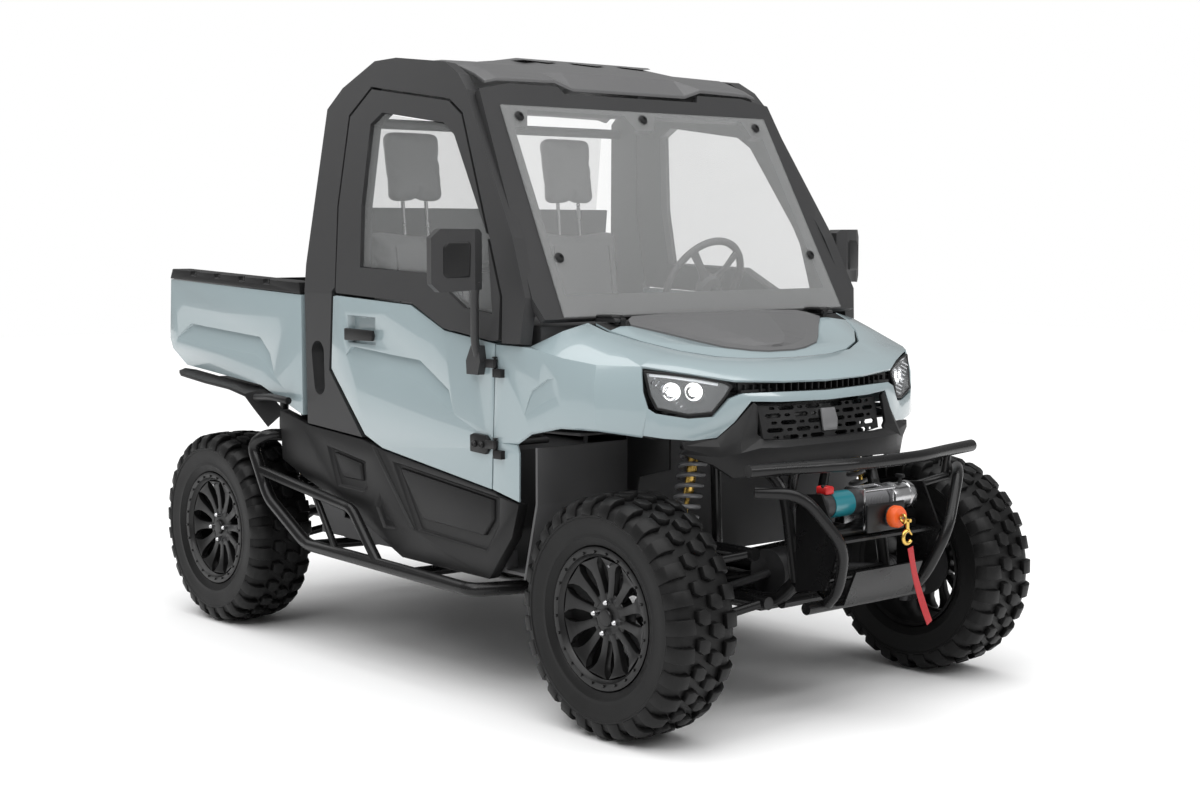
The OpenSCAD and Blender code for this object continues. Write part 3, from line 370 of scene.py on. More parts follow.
class Bench:
    """Modelling steps that every sub-assembly shares."""

    @staticmethod
    def clear() -> None:
        """Leaves edit mode and deselects everything."""
        if bpy.context.object and bpy.context.object.mode != "OBJECT":
            bpy.ops.object.mode_set(mode="OBJECT")
        bpy.ops.object.select_all(action="DESELECT")

    @classmethod
    def pick(cls, *objs: bpy.types.Object) -> None:
        """Selects these objects only, the first one active."""
        cls.clear()
        for obj in objs:
            obj.select_set(True)
        bpy.context.view_layer.objects.active = objs[0]

    @classmethod
    def edit(cls, obj: bpy.types.Object) -> None:
        """Opens an object in edit mode with all of it selected."""
        cls.pick(obj)
        bpy.ops.object.mode_set(mode="EDIT")
        bpy.ops.mesh.select_all(action="SELECT")

    @classmethod
    def settle(cls, obj: bpy.types.Object, name: str) -> bpy.types.Object:
        """Applies an object's place and names it.

        Args:
            obj: the object to settle.
            name: its new name.

        Returns:
            The same object, at the origin.
        """
        cls.pick(obj)
        bpy.ops.object.transform_apply(location=True, rotation=True, scale=True)
        obj.name = name
        obj.data.name = name
        return obj

    @classmethod
    def tidy(cls, obj: bpy.types.Object, gap: float = 1e-5) -> None:
        """Merges doubles and turns the faces outwards."""
        cls.edit(obj)
        bpy.ops.mesh.remove_doubles(threshold=gap)
        bpy.ops.mesh.normals_make_consistent(inside=False)
        bpy.ops.object.mode_set(mode="OBJECT")

    @classmethod
    def smooth(cls, obj: bpy.types.Object, angle: float = 35) -> bpy.types.Object:
        """Smooth shading across edges flatter than an angle in degrees."""
        cls.pick(obj)
        bpy.ops.object.shade_smooth_by_angle(angle=math.radians(angle))
        return obj

    @classmethod
    def use(cls, obj: bpy.types.Object, kind: str, **values: object) -> None:
        """Adds one modifier with its values and applies it.

        Args:
            obj: the object.
            kind: Blender's modifier type.
            values: what to set on the modifier.
        """
        cls.pick(obj)
        mod = obj.modifiers.new(kind.lower(), kind)
        for key, value in values.items():
            setattr(mod, key, value)
        bpy.ops.object.modifier_apply(modifier=mod.name)

    @classmethod
    def soften(cls, obj: bpy.types.Object, width: float = 0.003, segments: int = 2,
               angle: float = 28, shade: float = 35) -> bpy.types.Object:
        """Rounds the sharp edges of a finished shape.

        Args:
            obj: the object.
            width: width of the round.
            segments: steps across it.
            angle: edges sharper than this are rounded, in degrees.
            shade: smoothing angle afterwards, in degrees.

        Returns:
            The same object.
        """
        if width > 0:
            cls.use(obj, "BEVEL", width=width, segments=segments, limit_method="ANGLE",
                    angle_limit=math.radians(angle))
        return cls.smooth(obj, shade)

    @classmethod
    def block(cls, name: str, low: Sequence[float], high: Sequence[float],
              bevel: float = 0.003, segments: int = 2) -> bpy.types.Object:
        """A rounded block between two corners."""
        cls.clear()
        lo, hi = Vector(low), Vector(high)
        bpy.ops.mesh.primitive_cube_add(size=1, location=(lo + hi) / 2)
        obj = bpy.context.object
        obj.scale = hi - lo
        cls.settle(obj, name)
        return cls.soften(obj, bevel, segments)

    @classmethod
    def prism(cls, name: str, pts: Sequence[Point], depth: Point, bevel: float = 0.002,
              taper: float = 1.0, segments: int = 2) -> bpy.types.Object:
        """A flat outline pushed out along a direction.

        Args:
            name: name of the piece.
            pts: corners of the outline, in order.
            depth: how far and which way the outline is extruded.
            bevel: width of the rounded edges.
            taper: size of the far outline over the near one.
            segments: steps across the rounds.

        Returns:
            The closed solid.
        """
        cls.clear()
        bpy.ops.mesh.primitive_circle_add(vertices=len(pts), fill_type="NGON")
        obj = bpy.context.object
        for vert, point in zip(obj.data.vertices, pts):
            vert.co = point
        cls.edit(obj)
        bpy.ops.mesh.extrude_region_move(TRANSFORM_OT_translate={"value": depth})
        if taper != 1.0:
            mid = sum((Vector(p) for p in pts), Vector()) / len(pts) + Vector(depth)
            bpy.ops.transform.resize(value=(taper,) * 3, center_override=mid)
        bpy.ops.object.mode_set(mode="OBJECT")
        cls.tidy(obj)
        obj.name = obj.data.name = name
        return cls.soften(obj, bevel, segments)

    @classmethod
    def loft(cls, name: str, rings: Sequence[Sequence[Point]], bevel: float = 0.0,
             shade: float = 40) -> bpy.types.Object:
        """A closed solid through a row of rings with equal corner counts.

        Args:
            name: name of the piece.
            rings: closed rings of points, from one end to the other.
            bevel: width of the rounded edges.
            shade: smoothing angle, in degrees.

        Returns:
            The closed solid.
        """
        cls.clear()
        rows, cols = len(rings), len(rings[0]) + 1
        bpy.ops.mesh.primitive_grid_add(x_subdivisions=cols - 1, y_subdivisions=rows - 1)
        obj = bpy.context.object
        flat = [ring[j % (cols - 1)] for ring in rings for j in range(cols)]
        for vert, point in zip(obj.data.vertices, flat):
            vert.co = point
        cls.edit(obj)
        bpy.ops.mesh.remove_doubles(threshold=1e-5)
        bpy.ops.mesh.select_all(action="SELECT")
        bpy.ops.mesh.fill_holes(sides=0)
        bpy.ops.object.mode_set(mode="OBJECT")
        cls.tidy(obj)
        obj.name = obj.data.name = name
        return cls.soften(obj, bevel, shade=shade)

    @classmethod
    def skin(cls, name: str, rows: Sequence[Sequence[Point]], thick: float,
             levels: int = 2, bevel: float = 0.0015) -> bpy.types.Object:
        """A curved panel through a grid of points, with a thickness.

        Args:
            name: name of the piece.
            rows: grid of points on the outer face.
            thick: wall, grown to the side that the face looks away from.
            levels: subdivision that rounds the grid.
            bevel: width of its rounded rim.

        Returns:
            The closed panel.
        """
        cls.clear()
        bpy.ops.mesh.primitive_grid_add(x_subdivisions=len(rows[0]) - 1,
                                        y_subdivisions=len(rows) - 1)
        obj = bpy.context.object
        for vert, point in zip(obj.data.vertices, [p for row in rows for p in row]):
            vert.co = point
        if levels:
            cls.use(obj, "SUBSURF", levels=levels, render_levels=levels,
                    boundary_smooth="PRESERVE_CORNERS")
        cls.use(obj, "SOLIDIFY", thickness=thick, offset=-1.0)
        obj.name = obj.data.name = name
        return cls.soften(obj, bevel, 2, 60, 40)

    @classmethod
    def turned(cls, name: str, profile: Sequence[Flat], centre: Sequence[float],
               axis: Sequence[float], steps: int = 48, shade: float = 35,
               bevel: float = 0.0) -> bpy.types.Object:
        """A turned part: a closed outline spun about an axis.

        Args:
            name: name of the piece.
            profile: closed outline as (radius, distance along the axis).
            centre: point on the axis where the distance is nought.
            axis: direction of the axis.
            steps: faces round the axis.
            shade: smoothing angle, in degrees.
            bevel: width of the rounded edges.

        Returns:
            The closed solid.
        """
        cls.clear()
        bpy.ops.mesh.primitive_circle_add(vertices=len(profile), fill_type="NOTHING")
        obj = bpy.context.object
        for vert, (r, h) in zip(obj.data.vertices, profile):
            vert.co = (r, 0, h)
        cls.edit(obj)
        bpy.ops.mesh.spin(steps=steps, angle=FULL, center=(0, 0, 0), axis=(0, 0, 1))
        bpy.ops.object.mode_set(mode="OBJECT")
        cls.tidy(obj)
        turn = Vector(axis).to_track_quat("Z", "Y").to_matrix().to_4x4()
        obj.data.transform(Matrix.Translation(Vector(centre)) @ turn)
        obj.name = obj.data.name = name
        return cls.soften(obj, bevel, shade=shade)

    @classmethod
    def pipe(cls, name: str, pts: Sequence[Sequence[float]], radius: float,
             ease: float = 0.0, sides: int = 6, closed: bool = False) -> bpy.types.Object:
        """A round bar or tube along a path.

        Args:
            name: name of the piece.
            pts: corners of the path.
            radius: radius of the bar.
            ease: length cut back from each corner for its bend.
            sides: half the faces round the bar.
            closed: joins the end to the start.

        Returns:
            The bar as a mesh with capped ends.
        """
        path: List[Vector] = []
        p = [Vector(q) for q in pts]
        for i, q in enumerate(p):
            if ease <= 0 or (not closed and i in (0, len(p) - 1)):
                path.append(q)
                continue
            a, b = p[i - 1] - q, p[(i + 1) % len(p)] - q
            s = q + a.normalized() * min(ease, a.length * 0.45)
            e = q + b.normalized() * min(ease, b.length * 0.45)
            for k in range(6):
                t = k / 5
                path.append((1 - t) ** 2 * s + 2 * t * (1 - t) * q + t * t * e)
        cls.clear()
        bpy.ops.curve.primitive_nurbs_path_add()
        obj = bpy.context.object
        crv = obj.data
        crv.splines.clear()
        crv.dimensions = "3D"
        line = crv.splines.new("POLY")
        line.points.add(len(path) - 1)
        for point, q in zip(line.points, path):
            point.co = (*q, 1)
        line.use_cyclic_u = closed
        crv.bevel_depth = radius
        crv.bevel_resolution = sides - 2
        crv.use_fill_caps = True
        bpy.ops.object.convert(target="MESH")
        obj = bpy.context.object
        cls.settle(obj, name)
        cls.tidy(obj)
        return cls.smooth(obj, 45)

    @classmethod
    def join(cls, name: str, objs: Sequence[bpy.types.Object]) -> bpy.types.Object:
        """Makes one object out of several.

        Args:
            name: name of the result.
            objs: the pieces to join.

        Returns:
            The joined object.
        """
        cls.pick(*objs)
        if len(objs) > 1:
            bpy.ops.object.join()
        obj = bpy.context.object
        obj.name = obj.data.name = name
        return obj

    @classmethod
    def copy(cls, obj: bpy.types.Object, name: str, move: Matrix) -> bpy.types.Object:
        """A copy with its own mesh, moved by a matrix."""
        new = obj.copy()
        new.data = obj.data.copy()
        new.data.transform(move)
        if move.determinant() < 0:
            new.data.flip_normals()
        new.name = new.data.name = name
        new.parent = None
        new.matrix_world = Matrix.Identity(4)
        bpy.context.collection.objects.link(new)
        return new

    @classmethod
    def around(cls, obj: bpy.types.Object, count: int) -> List[bpy.types.Object]:
        """A piece and its copies, evenly spaced about the Y axis.

        Args:
            obj: the first piece.
            count: how many there are in all.

        Returns:
            All of them.
        """
        turns = [Matrix.Rotation(FULL * k / count, 4, "Y") for k in range(1, count)]
        return [obj] + [cls.copy(obj, obj.name, turn) for turn in turns]

    @classmethod
    def mirrored(cls, obj: bpy.types.Object, name: str) -> bpy.types.Object:
        """A copy for the other side of the vehicle."""
        return cls.copy(obj, name, Matrix.Scale(-1, 4, (0, 1, 0)))

    @classmethod
    def from_node(cls, node: str, name: str) -> bpy.types.Object:
        """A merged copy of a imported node's mesh, for shaping further.

        Args:
            node: name of the node.
            name: name of the copy.

        Returns:
            The copy, with its doubles merged and flat faces joined up.
        """
        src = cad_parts[node]
        new = cls.copy(src, name, Matrix.Identity(4))
        for key in [k for k in new.keys() if k.startswith("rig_")]:
            del new[key]
        new.modifiers.clear()
        new.hide_render = new.hide_viewport = False
        cls.edit(new)
        bpy.ops.mesh.remove_doubles(threshold=2e-5)
        bpy.ops.mesh.dissolve_limited(angle_limit=math.radians(0.5))
        bpy.ops.object.mode_set(mode="OBJECT")
        return new

    @classmethod
    def carve(cls, obj: bpy.types.Object, cutters: Sequence[bpy.types.Object],
              add: bool = False) -> None:
        """Cuts shapes out of an object, or adds them to it.

        Args:
            obj: the object to change.
            cutters: closed solids, used up by the cut.
            add: joins the shapes on instead of cutting them out.
        """
        for cutter in cutters:
            cls.use(obj, "BOOLEAN", object=cutter, solver="EXACT",
                    operation="UNION" if add else "DIFFERENCE")
            cls.pick(cutter)
            bpy.ops.object.delete()


class Shop:
    """Puts finished pieces on the vehicle."""

    count = 0

    @classmethod
    def fit(cls, obj: bpy.types.Object, body: str, finish: Finish, slot: str,
            replaces: Sequence[str] = ()) -> bpy.types.Object:
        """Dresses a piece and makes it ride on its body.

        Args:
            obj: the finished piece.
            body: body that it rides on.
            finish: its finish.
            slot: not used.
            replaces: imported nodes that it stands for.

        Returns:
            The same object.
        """
        obj.data.materials.clear()
        obj.data.materials.append(finish.build())
        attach(obj, body)
        if replaces:
            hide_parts(*replaces)
        cls.count += 1
        return obj

    @staticmethod
    def second(obj: bpy.types.Object, finish: Finish, low: Point, high: Point) -> None:
        """Gives the faces inside a box, on either side, another finish.

        Args:
            obj: a piece that is already dressed.
            finish: the second finish.
            low: lower corner of the box, with Y counted outwards.
            high: upper corner of the box.
        """
        obj.data.materials.append(finish.build())
        index = len(obj.data.materials) - 1
        for face in obj.data.polygons:
            c = (face.center.x, abs(face.center.y), face.center.z)
            if all(a <= v <= b for a, v, b in zip(low, c, high)):
                face.material_index = index

    @staticmethod
    def dress(node: str, finish: Finish, bevel: float = 0.0) -> None:
        """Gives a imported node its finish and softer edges.

        Args:
            node: name of the node.
            finish: its finish.
            bevel: width of the rounded edges, or nought for none.
        """
        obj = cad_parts[node]
        mat = finish.build()
        if not obj.material_slots:
            obj.data.materials.append(mat)
        for held in obj.material_slots:
            held.material = mat
        if bevel > 0:
            weld = obj.modifiers.new("weld", "WELD")
            weld.merge_threshold = 2e-5
            flat = obj.modifiers.new("flat", "DECIMATE")
            flat.decimate_type = "DISSOLVE"
            flat.angle_limit = math.radians(0.5)
            edge = obj.modifiers.new("edge", "BEVEL")
            edge.width = bevel
            edge.segments = 2
            edge.limit_method = "ANGLE"
            edge.angle_limit = math.radians(30)
            edge.harden_normals = True


# ---------------------------------------------------------------- studio


@dataclass
class Studio:
    """Floor, light and camera."""

    eye: Point = (5.1101, -4.2168, 1.4535)
    yaw: float = 41.2717
    pitch: float = 4.9632
    lens: float = 56.08
    shift: Flat = (-0.0160, -0.0030)

    def build(self) -> None:
        """Sets up the floor, the lights and the camera."""
        Bench.clear()
        bpy.ops.mesh.primitive_plane_add(size=40)
        floor = bpy.context.object
        floor.name = "floor"
        mat = bpy.data.materials.new("floor_white")
        mat.use_nodes = True
        bsdf = mat.node_tree.nodes["Principled BSDF"]
        bsdf.inputs["Base Color"].default_value = (0.95, 0.95, 0.95, 1)
        bsdf.inputs["Roughness"].default_value = 0.9
        bsdf.inputs["Specular IOR Level"].default_value = 0.1
        floor.data.materials.append(mat)
        world = bpy.data.worlds.new("sky")
        world.use_nodes = True
        n, ln = world.node_tree.nodes, world.node_tree.links
        near, far = n["Background"], n.new("ShaderNodeBackground")
        near.inputs[0].default_value = (1, 1, 1, 1)
        near.inputs[1].default_value = 0.30
        far.inputs[0].default_value = (1, 1, 1, 1)
        far.inputs[1].default_value = 1.0
        ray, mix = n.new("ShaderNodeLightPath"), n.new("ShaderNodeMixShader")
        ln.new(ray.outputs["Is Camera Ray"], mix.inputs[0])
        ln.new(near.outputs[0], mix.inputs[1])
        ln.new(far.outputs[0], mix.inputs[2])
        ln.new(mix.outputs[0], n["World Output"].inputs[0])
        bpy.context.scene.world = world
        bpy.context.scene.view_settings.view_transform = "Standard"
        self.sun()
        self.lamp("key", (2.5, -5.0, 4.5), 45, 1.6)
        self.lamp("fill", (5.5, 2.0, 3.5), 45, 1.6)
        self.lamp("back", (-5.0, -2.0, 4.0), 40, 3.0)
        self.camera()
        LOG.info("studio ready")

    @staticmethod
    def sun() -> None:
        """A wide soft light from above, like a studio ceiling."""
        Bench.clear()
        bpy.ops.object.light_add(type="SUN", location=(0, 0, 8))
        lamp = bpy.context.object
        lamp.name = "ceiling"
        lamp.data.energy = 3.1
        lamp.data.angle = math.radians(80)
        lamp.rotation_euler = Vector((-0.16, 0.14, -1)).to_track_quat("-Z", "Y").to_euler()

    @staticmethod
    def lamp(name: str, at: Point, power: float, size: float) -> None:
        """A soft square lamp that looks at the middle of the vehicle."""
        Bench.clear()
        bpy.ops.object.light_add(type="AREA", location=at)
        lamp = bpy.context.object
        lamp.name = name
        lamp.data.energy = power
        lamp.data.size = size
        aim = Vector((0, 0, 0.9)) - Vector(at)
        lamp.rotation_euler = aim.to_track_quat("-Z", "Y").to_euler()

    def camera(self) -> None:
        """Places the camera."""
        Bench.clear()
        bpy.ops.object.camera_add(location=self.eye)
        cam = bpy.context.object
        yaw, pitch = math.radians(self.yaw), math.radians(self.pitch)
        look = Vector((-math.cos(yaw) * math.cos(pitch), math.sin(yaw) * math.cos(pitch),
                       -math.sin(pitch)))
        cam.rotation_euler = look.to_track_quat("-Z", "Y").to_euler()
        cam.data.sensor_width = 36
        cam.data.lens = self.lens
        cam.data.shift_x, cam.data.shift_y = self.shift
        bpy.context.scene.camera = cam


# ---------------------------------------------------------------- wheels


@dataclass
class Tyre:
    """An off-road tyre with chunky lugs, built round the Y axis at the origin."""

    radius: float = TYRE_R
    pitches: int = 27
    groove_floor: float = 0.336
    lead: float = -0.22

    def carcass(self) -> bpy.types.Object:
        """The casing with its beads and raised sidewall rings.

        Returns:
            The casing as one closed solid.
        """
        out = [(0.208, 0.098), (0.214, 0.107), (0.232, 0.113), (0.236, 0.1165), (0.244, 0.1165),
               (0.248, 0.116), (0.272, 0.121), (0.292, 0.121), (0.294, 0.1235), (0.299, 0.1235),
               (0.301, 0.121), (0.318, 0.116), (0.328, 0.104), (0.335, 0.085), (0.3375, 0.045),
               (0.338, 0.0)]
        outer = out + [(r, -w) for r, w in reversed(out[:-1])]
        inner = [(0.208, -0.088), (0.245, -0.1), (0.30, -0.1), (0.322, -0.07), (0.326, 0.0),
                 (0.322, 0.07), (0.30, 0.1), (0.245, 0.1), (0.208, 0.088)]
        return Bench.turned("casing", outer + inner, (0, 0, 0), (0, 1, 0), 72, 40)

    def lugs(self) -> List[bpy.types.Object]:
        """One pitch of the tread: two staggered middle blocks and two shoulder blocks."""
        top = self.radius - 0.0007
        low = self.groove_floor
        middle = [(-0.021, 0.004, low), (0.012, 0.002, low), (0.026, 0.024, low),
                  (0.022, 0.048, low), (-0.010, 0.050, low), (-0.024, 0.028, low)]
        a = Bench.prism("mid_a", middle, (0, 0, top - low), 0.0016, 0.9)
        b = Bench.copy(a, "mid_b", Matrix.Rotation(math.pi / self.pitches, 4, "Y")
                       @ Matrix.Rotation(math.pi, 4, "Z"))
        side = [(-0.024, 0.058, 0.335), (-0.024, 0.0585, 0.3535), (-0.024, 0.080, top - 0.002),
                (-0.024, 0.0965, 0.3490), (-0.024, 0.1140, 0.3370), (-0.024, 0.1215, 0.3205),
                (-0.024, 0.1262, 0.3000), (-0.024, 0.119, 0.2960), (-0.024, 0.112, 0.318),
                (-0.024, 0.098, 0.331)]
        c = Bench.prism("shoulder", side, (0.044, 0, 0), 0.003, 0.94)
        step = FULL / self.pitches
        c.data.transform(Matrix.Rotation(self.lead * step, 4, "Y"))
        spin = Matrix.Rotation(step / 2, 4, "Y") @ Matrix.Rotation(math.pi, 4, "Z")
        return [a, b, c, Bench.copy(c, "shoulder_far", spin)]

    def build(self) -> bpy.types.Object:
        """Makes the whole tyre once.

        Returns:
            One object, centred on the origin.
        """
        pitch = Bench.join("pitch", self.lugs())
        parts = [self.carcass()] + Bench.around(pitch, self.pitches)
        return Bench.join("tyre_pattern", parts)


@dataclass
class Rim:
    """A twelve-window rim; its outer face looks along -Y, centred on the origin."""

    spokes: int = 12
    studs: int = 24
    nuts: int = 4

    def spoke(self) -> bpy.types.Object:
        """One spoke, pointing up.

        Returns:
            The spoke as a closed solid.
        """
        def ring(r: float, half: float, y0: float, y1: float) -> List[Point]:
            """Cross-section of the spoke at one radius."""
            return [(-half, y0, r), (half, y0, r), (half * 0.8, y1, r), (-half * 0.8, y1, r)]
        rings = [ring(0.050, 0.013, -0.076, -0.050), ring(0.075, 0.0125, -0.074, -0.050),
                 ring(0.110, 0.0135, -0.076, -0.052), ring(0.140, 0.0175, -0.082, -0.056),
                 ring(0.158, 0.026, -0.089, -0.060), ring(0.172, 0.042, -0.093, -0.064)]
        return Bench.loft("spoke", rings, 0.0022)

    def build(self) -> Dict[str, bpy.types.Object]:
        """Makes the rim once.

        Returns:
            The painted rim and its bright nuts, centred on the origin.
        """
        barrel = [(0.2075, -0.100), (0.2075, -0.106), (0.200, -0.108), (0.188, -0.106),
                  (0.184, -0.098), (0.178, -0.092), (0.176, -0.064), (0.184, -0.058),
                  (0.184, 0.060), (0.194, 0.100), (0.206, 0.106), (0.2075, 0.100),
                  (0.199, 0.090), (0.193, 0.060), (0.193, -0.088)]
        hub = [(0.0, -0.088), (0.022, -0.088), (0.026, -0.084), (0.0265, -0.076), (0.036, -0.075),
               (0.068, -0.074), (0.072, -0.070), (0.072, -0.030), (0.05, -0.026), (0.0, -0.026)]
        parts = [Bench.turned("barrel", barrel, (0, 0, 0), (0, 1, 0), 72),
                 Bench.turned("hub", hub, (0, 0, 0), (0, 1, 0), 48, 30, 0.0015)]
        parts += Bench.around(self.spoke(), self.spokes)
        stud = Bench.turned("stud", [(0, -0.1125), (0.0035, -0.1125), (0.0045, -0.111),
                                     (0.0045, -0.104), (0, -0.104)], (0, 0, 0.1935), (0, 1, 0), 8)
        parts += Bench.around(stud, self.studs)
        nut = Bench.turned("nut", [(0, -0.096), (0.005, -0.096), (0.008, -0.092),
                                   (0.0105, -0.078), (0.0105, -0.072), (0, -0.072)],
                           (0, 0, 0.046), (0, 1, 0), 12, 25)
        nuts = Bench.around(nut, self.nuts)
        valve = Bench.pipe("valve", [(0.010, -0.085, 0.168), (0.010, -0.103, 0.160)], 0.0035)
        nuts.append(valve)
        return {"rim": Bench.join("rim_pattern", parts), "nuts": Bench.join("nut_pattern", nuts)}


@dataclass
class Wheels:
    """Four dressed wheels with their brakes."""

    def build(self) -> None:
        """Makes each wheel from the tyre and rim patterns."""
        tyre = Tyre().build()
        rim = Rim().build()
        brake = Bench.turned("disc", [(0.05, 0.002), (0.11, 0.002), (0.11, -0.004),
                                      (0.05, -0.004)], (0, 0, 0), (0, 1, 0), 48)
        for axle in Axle:
            for side in Side:
                self.corner(axle, side, tyre, rim, brake)
        for pattern in (tyre, rim["rim"], rim["nuts"], brake):
            bpy.data.objects.remove(pattern)
        LOG.info("wheels ready")

    @staticmethod
    def corner(axle: Axle, side: Side, tyre: bpy.types.Object,
               rim: Dict[str, bpy.types.Object], brake: bpy.types.Object) -> None:
        """Copies the patterns to one corner.

        Args:
            axle: front or rear.
            side: right or left.
            tyre: the tyre pattern.
            rim: the rim and nut patterns.
            brake: the brake disc pattern.
        """
        tag = f"{axle.word}_{side.word}"
        body = f"wheel_{tag}"
        at = Matrix.Translation((axle.value * AXLE_X, side.value * WHEEL_Y, TYRE_R))
        turn = Matrix.Rotation(0 if side is Side.RIGHT else math.pi, 4, "Z")
        roll = Matrix.Rotation(0.11 * axle.value + 0.05, 4, "Y")
        move = at @ turn @ roll
        Shop.fit(Bench.copy(tyre, f"lugged_tyre_{tag}", move), body, RUBBER, "tyre",
                 [f"tyre_{tag}"])
        Shop.fit(Bench.copy(rim["rim"], f"spoked_rim_{tag}", move), body, RIM_BLACK, "rim",
                 [f"rim_{tag}"])
        Shop.fit(Bench.copy(rim["nuts"], f"wheel_nuts_{tag}", move), body, STEEL, "rim")
        disc = Bench.copy(brake, f"brake_disc_{tag}", at @ Matrix.Translation(
            (0, -0.03 * side.value, 0)))
        Shop.fit(disc, body, CAST, "rim")


@dataclass
class Spring:
    """A coil-over damper between two points."""

    name: str
    low: Point
    high: Point
    coil_r: float = 0.0372
    wire_r: float = 0.0070
    turns: float = 7.5

    def build(self) -> None:
        """Makes the coil, the damper body, the shaft and the end eyes."""
        p, q = Vector(self.low), Vector(self.high)
        length = (q - p).length
        turn = (q - p).to_track_quat("Z", "Y").to_matrix()
        path = []
        steps = int(self.turns * 20)
        for k in range(steps + 1):
            t = k / steps
            a = FULL * self.turns * t
            h = length * (0.16 + 0.68 * t)
            path.append(p + turn @ Vector((self.coil_r * math.cos(a),
                                           self.coil_r * math.sin(a), h)))
        coil = Bench.pipe(f"{self.name}_coil", path, self.wire_r, sides=5)
        Shop.fit(coil, "chassis", SPRING, "shocks")
        axis = q - p

        def turned(tag: str, prof: Sequence[Flat], finish: Finish) -> None:
            """Fits one turned part of the damper."""
            obj = Bench.turned(f"{self.name}_{tag}", prof, p, axis, 32, 30)
            Shop.fit(obj, "chassis", finish, "shocks")
        k = length
        turned("shaft", [(0, 0.02), (0.0075, 0.02), (0.0075, 0.5 * k), (0, 0.5 * k)], GOLD)
        turned("tube", [(0, 0.46 * k), (0.014, 0.46 * k), (0.016, 0.47 * k), (0.016, 0.9 * k),
                        (0, 0.9 * k)], GOLD)
        turned("seat_low", [(0, 0.10 * k), (0.03, 0.10 * k), (0.045, 0.135 * k),
                            (0.045, 0.15 * k), (0, 0.15 * k)], CAST)
        turned("seat_high", [(0, 0.86 * k), (0.045, 0.86 * k), (0.045, 0.88 * k),
                             (0.028, 0.92 * k), (0.02, 0.985 * k), (0, 0.985 * k)], CAST)
        ends = []
        for spot in (p + axis * 0.03, q - axis * 0.025):
            ends.append(Bench.turned(f"{self.name}_eye", [(0.006, -0.014), (0.016, -0.014),
                                                          (0.016, 0.014), (0.006, 0.014)],
                                     spot, (1, 0, 0), 24, 30))
        Shop.fit(Bench.join(f"{self.name}_eyes", ends), "chassis", CAST, "shocks",
                 ["shocks"])


@dataclass
class RunningGear:
    """Springs, boots and the dressed chassis parts."""

    def build(self) -> None:
        """Dresses the chassis and adds the springs."""
        for node, finish in (("frame", POWDER), ("engine", CAST), ("driveline", CAST),
                             ("arms", POWDER), ("front_knuckle_right", CAST),
                             ("front_knuckle_left", CAST)):
            Shop.dress(node, finish, 0.0015 if node != "frame" else 0.0)
        for side in Side:
            s = side.value
            Spring(f"spring_front_{side.word}", (AXLE_X - 0.040, s * 0.433, 0.506),
                   (AXLE_X - 0.066, s * 0.336, 0.850)).build()
            Spring(f"spring_rear_{side.word}", (-AXLE_X + 0.046, s * 0.431, 0.506),
                   (-AXLE_X + 0.118, s * 0.352, 0.862)).build()
            for x in (AXLE_X, -AXLE_X):
                self.boot(f"axle_boot_{'front' if x > 0 else 'rear'}_{side.word}", x, s)
        self.powerplant()
        LOG.info("running gear ready")

    @staticmethod
    def boot(name: str, x: float, s: int) -> None:
        """A pleated boot on a half shaft."""
        prof = [(0.0, 0.0)]
        for k in range(6):
            grow, along = 0.0025 * k, 0.010 * k
            prof += [(0.030 + grow, 0.004 + along), (0.024 + grow, 0.009 + along)]
        prof += [(0.044, 0.064), (0.0, 0.064)]
        boot = Bench.turned(name, prof, (x, s * 0.432, TYRE_R + 0.005), (0, s, -0.09), 32, 50)
        Shop.fit(boot, "chassis", SEAL, "driveline")

    @staticmethod
    def powerplant() -> None:
        """Fins, covers and pipes round the plain engine block."""
        parts = [Bench.block("cover", (-0.86, -0.186, 0.46), (-0.63, -0.172, 0.70), 0.01, 3),
                 Bench.block("cover", (-0.86, 0.172, 0.46), (-0.63, 0.186, 0.70), 0.01, 3)]
        parts.append(Bench.block("backing", (-0.905, -0.15, 0.50), (-0.897, 0.15, 0.74), 0.002))
        for k in range(7):
            parts.append(Bench.block("fin", (-0.912, -0.15, 0.50 + 0.03 * k),
                                     (-0.896, 0.15, 0.508 + 0.03 * k), 0.002))
        parts.append(Bench.turned("pulley", [(0, 0), (0.07, 0), (0.075, 0.01), (0.07, 0.02),
                                             (0, 0.02)], (-0.70, -0.186, 0.56), (0, -1, 0), 40))
        Shop.fit(Bench.join("engine_covers", parts), "chassis", CAST, "engine")
        pipe = Bench.pipe("exhaust_pipe", [(-0.88, 0.10, 0.60), (-0.96, 0.12, 0.58),
                                           (-1.0, 0.14, 0.62)], 0.02, 0.03)
        Shop.fit(pipe, "chassis", STEEL, "engine")
        can = Bench.turned("silencer", [(0, 0), (0.06, 0), (0.07, 0.02), (0.07, 0.26),
                                        (0.055, 0.285), (0.02, 0.285), (0.02, 0.31), (0, 0.31)],
                           (-1.05, 0.10, 0.64), (-1, 0, 0), 40, 35)
        Shop.fit(can, "chassis", STEEL, "engine")


# ---------------------------------------------------------------- body sides


def groove(name: str, upper: Sequence[Flat], lower: Sequence[Flat], deep: float,
           face: float = -HALF) -> bpy.types.Object:
    """A cutter for a crease: a steep wall along the top, a slope out to the bottom.

    Args:
        name: name of the cutter.
        upper: points of the top line as (x, z).
        lower: points of the bottom line, one for each of the top line.
        deep: depth at the top line.
        face: Y of the panel's face.

    Returns:
        The closed cutter.
    """
    rings = []
    last = len(upper) - 1
    for k, (u, w) in enumerate(zip(upper, lower)):
        d = deep if 0 < k < last else 0.0008
        rings.append([(u[0], face - 0.004, u[1] + 0.001), (u[0], face + d, u[1] - 0.004),
                      (w[0], face + 0.0002, w[1]), (w[0], face - 0.004, w[1] - 0.001)])
    return Bench.loft(name, rings)


